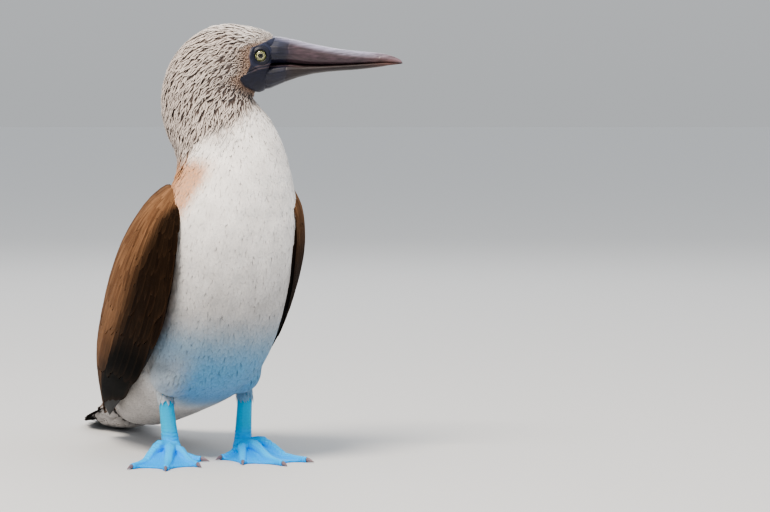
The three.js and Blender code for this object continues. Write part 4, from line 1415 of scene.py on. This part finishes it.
# %% [markdown]
# ## Legs and feet
#
# The legs and webs of this bird are its bright blue skin: small round scales on the shank, a row
# of broad scutes along each toe, and fine creases across the webs. Blunt grey claws. The thigh's
# white feathers end in a cuff round the top of the shank, so no edge shows there.

# %% Where the scales are
LEG_BLUE = linear("#1eb2dc")
WEB_BLUE = linear("#00aaff")
TOE_BLUE = linear("#1cb8ff")
SCUTE_MM = 2.7
ANKLES = {"left": (29, -3), "right": (-34, -3)}
FOOT_TURNS = {"left": 8, "right": -22}
TOES = {"outer": (25, 68), "middle": (0, 73), "inner": (-27, 54), "back": (-68, 27)}


def foot_scales(points, label):
    """Scutes counted along the nearest toe or up the shank, how far on it, and the web's angle."""
    bird = bird_mm(points)
    side = SIDES[label]
    away = bird[:, :2] - np.array(ANKLES[label])
    along, near = np.zeros(len(bird)), np.full(len(bird), np.inf)
    for angle, length in TOES.values():
        turn = math.radians(FOOT_TURNS[label] + angle * side)
        way = np.array([math.sin(turn), -math.cos(turn)])
        reach = np.clip(away @ way, 0, length)
        gap = np.linalg.norm(away - reach[:, None] * way, axis=1)
        along = np.where(gap < near, reach, along)
        near = np.minimum(near, gap)
    shank = ramp(bird[:, 2], 14, 20)
    along = np.where(shank > 0.5, bird[:, 2], along) / SCUTE_MM
    along = along + 0.18 * np.sin(bird[:, 0] * 1.3 + bird[:, 2] * 0.35)
    along = along + 0.12 * np.sin(bird[:, 2] * 0.9)
    on_toe = ramp(near, 5.2, 3.2) * (1 - shank) + 0.3 * shank * ramp(bird[:, 1], 4, -2)
    angle = np.arctan2(away[:, 0], -away[:, 1])
    return np.column_stack([along, on_toe, angle])


# %% Scaled skin
# Soft blue skin with a low gloss: light goes a little way in.
ROUND_SCALE_MM = 1.1
scaled_skin, tree, shader = new_material("scaled_foot_skin", {
    "Roughness": 0.45, "IOR": 1.4, "Specular IOR Level": 0.3, "Subsurface Weight": 0.1})
shader.inputs["Subsurface Radius"].default_value = (0.2 * MM, 0.6 * MM, 1.2 * MM)
facts = add_node(tree, "Attribute", {"attribute_name": "Scales"})
fact = add_node(tree, "SeparateXYZ", {}, {0: facts.outputs["Vector"]})
where = add_node(tree, "TexCoord")
# Scutes across the toes and the front of the shank.
saw = add_node(tree, "Math", {"operation": "FRACT"}, {0: fact.outputs["X"]})
scute = add_node(tree, "MapRange", {"interpolation_type": "SMOOTHSTEP", 1: 0.0, 2: 0.3},
                 {0: saw.outputs[0]})
# Creases that fan out over the web.
fan = add_node(tree, "CombineXYZ", {}, {"X": fact.outputs["Z"]})
spread = add_node(tree, "VectorMath", {"operation": "MULTIPLY_ADD", 1: (30, 30, 30)},
                  {0: fan.outputs[0], 2: where.outputs["Object"]})
creases = add_node(tree, "TexNoise", {"Scale": 1.4, "Detail": 5}, {"Vector": spread.outputs[0]})
height = add_node(tree, "Mix", {"data_type": "FLOAT"},
                  {0: fact.outputs["Y"], 2: creases.outputs["Fac"], 3: scute.outputs[0]})
bump = tinted_finish(tree, shader, height.outputs[0], span=(0.0, 1.0), shades=(0.82, 1.08),
                     relief=height.outputs[0], strength=0.55, depth=0.45)
# Small round scales everywhere.
round_scales = add_node(tree, "TexVoronoi", {
    "feature": "DISTANCE_TO_EDGE", "Scale": 1 / (ROUND_SCALE_MM * MM)},
    {"Vector": where.outputs["Object"]})
round_edge = add_node(tree, "MapRange", {1: 0.0, 2: 0.22}, {0: round_scales.outputs["Distance"]})
finer_bump = add_node(tree, "Bump", {"Strength": 0.35, "Distance": 0.2 * MM},
                      {"Height": round_edge.outputs[0], "Normal": bump.outputs["Normal"]})
tree.links.new(finer_bump.outputs["Normal"], shader.inputs["Normal"])
# Worn horn of the claws: grey, smooth, with a dull shine.
claw_horn = new_material("claw_horn", {"Roughness": 0.35, "IOR": 1.54}, "#7d6a70")[0]

# %% Legs, feet and claws
THIGH_EDGE = 53


def down_the_leg(points, outs):
    """The way the cuff's feathers point: down, in the surface."""
    return unit(-UP - outs * (outs @ -UP)[:, None])


for label in SIDES:
    mesh = remeshed((f"tarsus_{label}", f"foot_{label}"), voxel=0.75, grow=0.2, smooth=4)
    places, normals = mesh_arrays(mesh)
    left, _, up = bird_mm(places).T
    # The shank runs on up and back into the thigh, and its skin folds where it bends.
    into = np.outer(8 * ramp(up, 49, 58), (0, 0.7, 1))
    fold = 0.22 * np.sin(up * 2.1 + 0.8 * np.sin(left * 0.5)) * within(up, 12, 16, 22, 30)
    moved = places + (normals * fold[:, None] + into) * MM
    moved[:, 2] = np.maximum(moved[:, 2], floor_origin[2])
    set_places(mesh, moved)
    scales = foot_scales(places, label)
    colour = blend(WEB_BLUE, TOE_BLUE, scales[:, 1] * ramp(up, 2, 6))
    set_tint(mesh, blend(colour, LEG_BLUE, ramp(up, 12, 30)))
    set_tint(mesh, scales, "Scales")
    link_piece(f"leg_skin_{label}", mesh, "leg_skin", scaled_skin, f"tarsus_{label}",
               f"foot_{label}")
    print("leg", label, len(mesh.polygons), "faces")
    plant_coat(f"thigh_feathers_{label}", mesh, lambda p: 1.15,
               lambda p, n: bird_mm(p)[:, 2] > THIGH_EDGE,
               sizes_between((4, 9), (0.8, 1.2), (0.7, 1.6)), (0.2, 0.8, 0.05, 0.05),
               down_feather, "body_feather", outline=downy, jitter=0.15, rounding=0.3,
               lie=down_the_leg, **BODY_FORM)
    for toe in TOES:
        node = f"claw_{label}_{toe}"
        mesh = remeshed((node,), voxel=0.4, grow=0.15, smooth=2)
        link_piece(node + "_horn", mesh, "claw_horn", claw_horn, node)
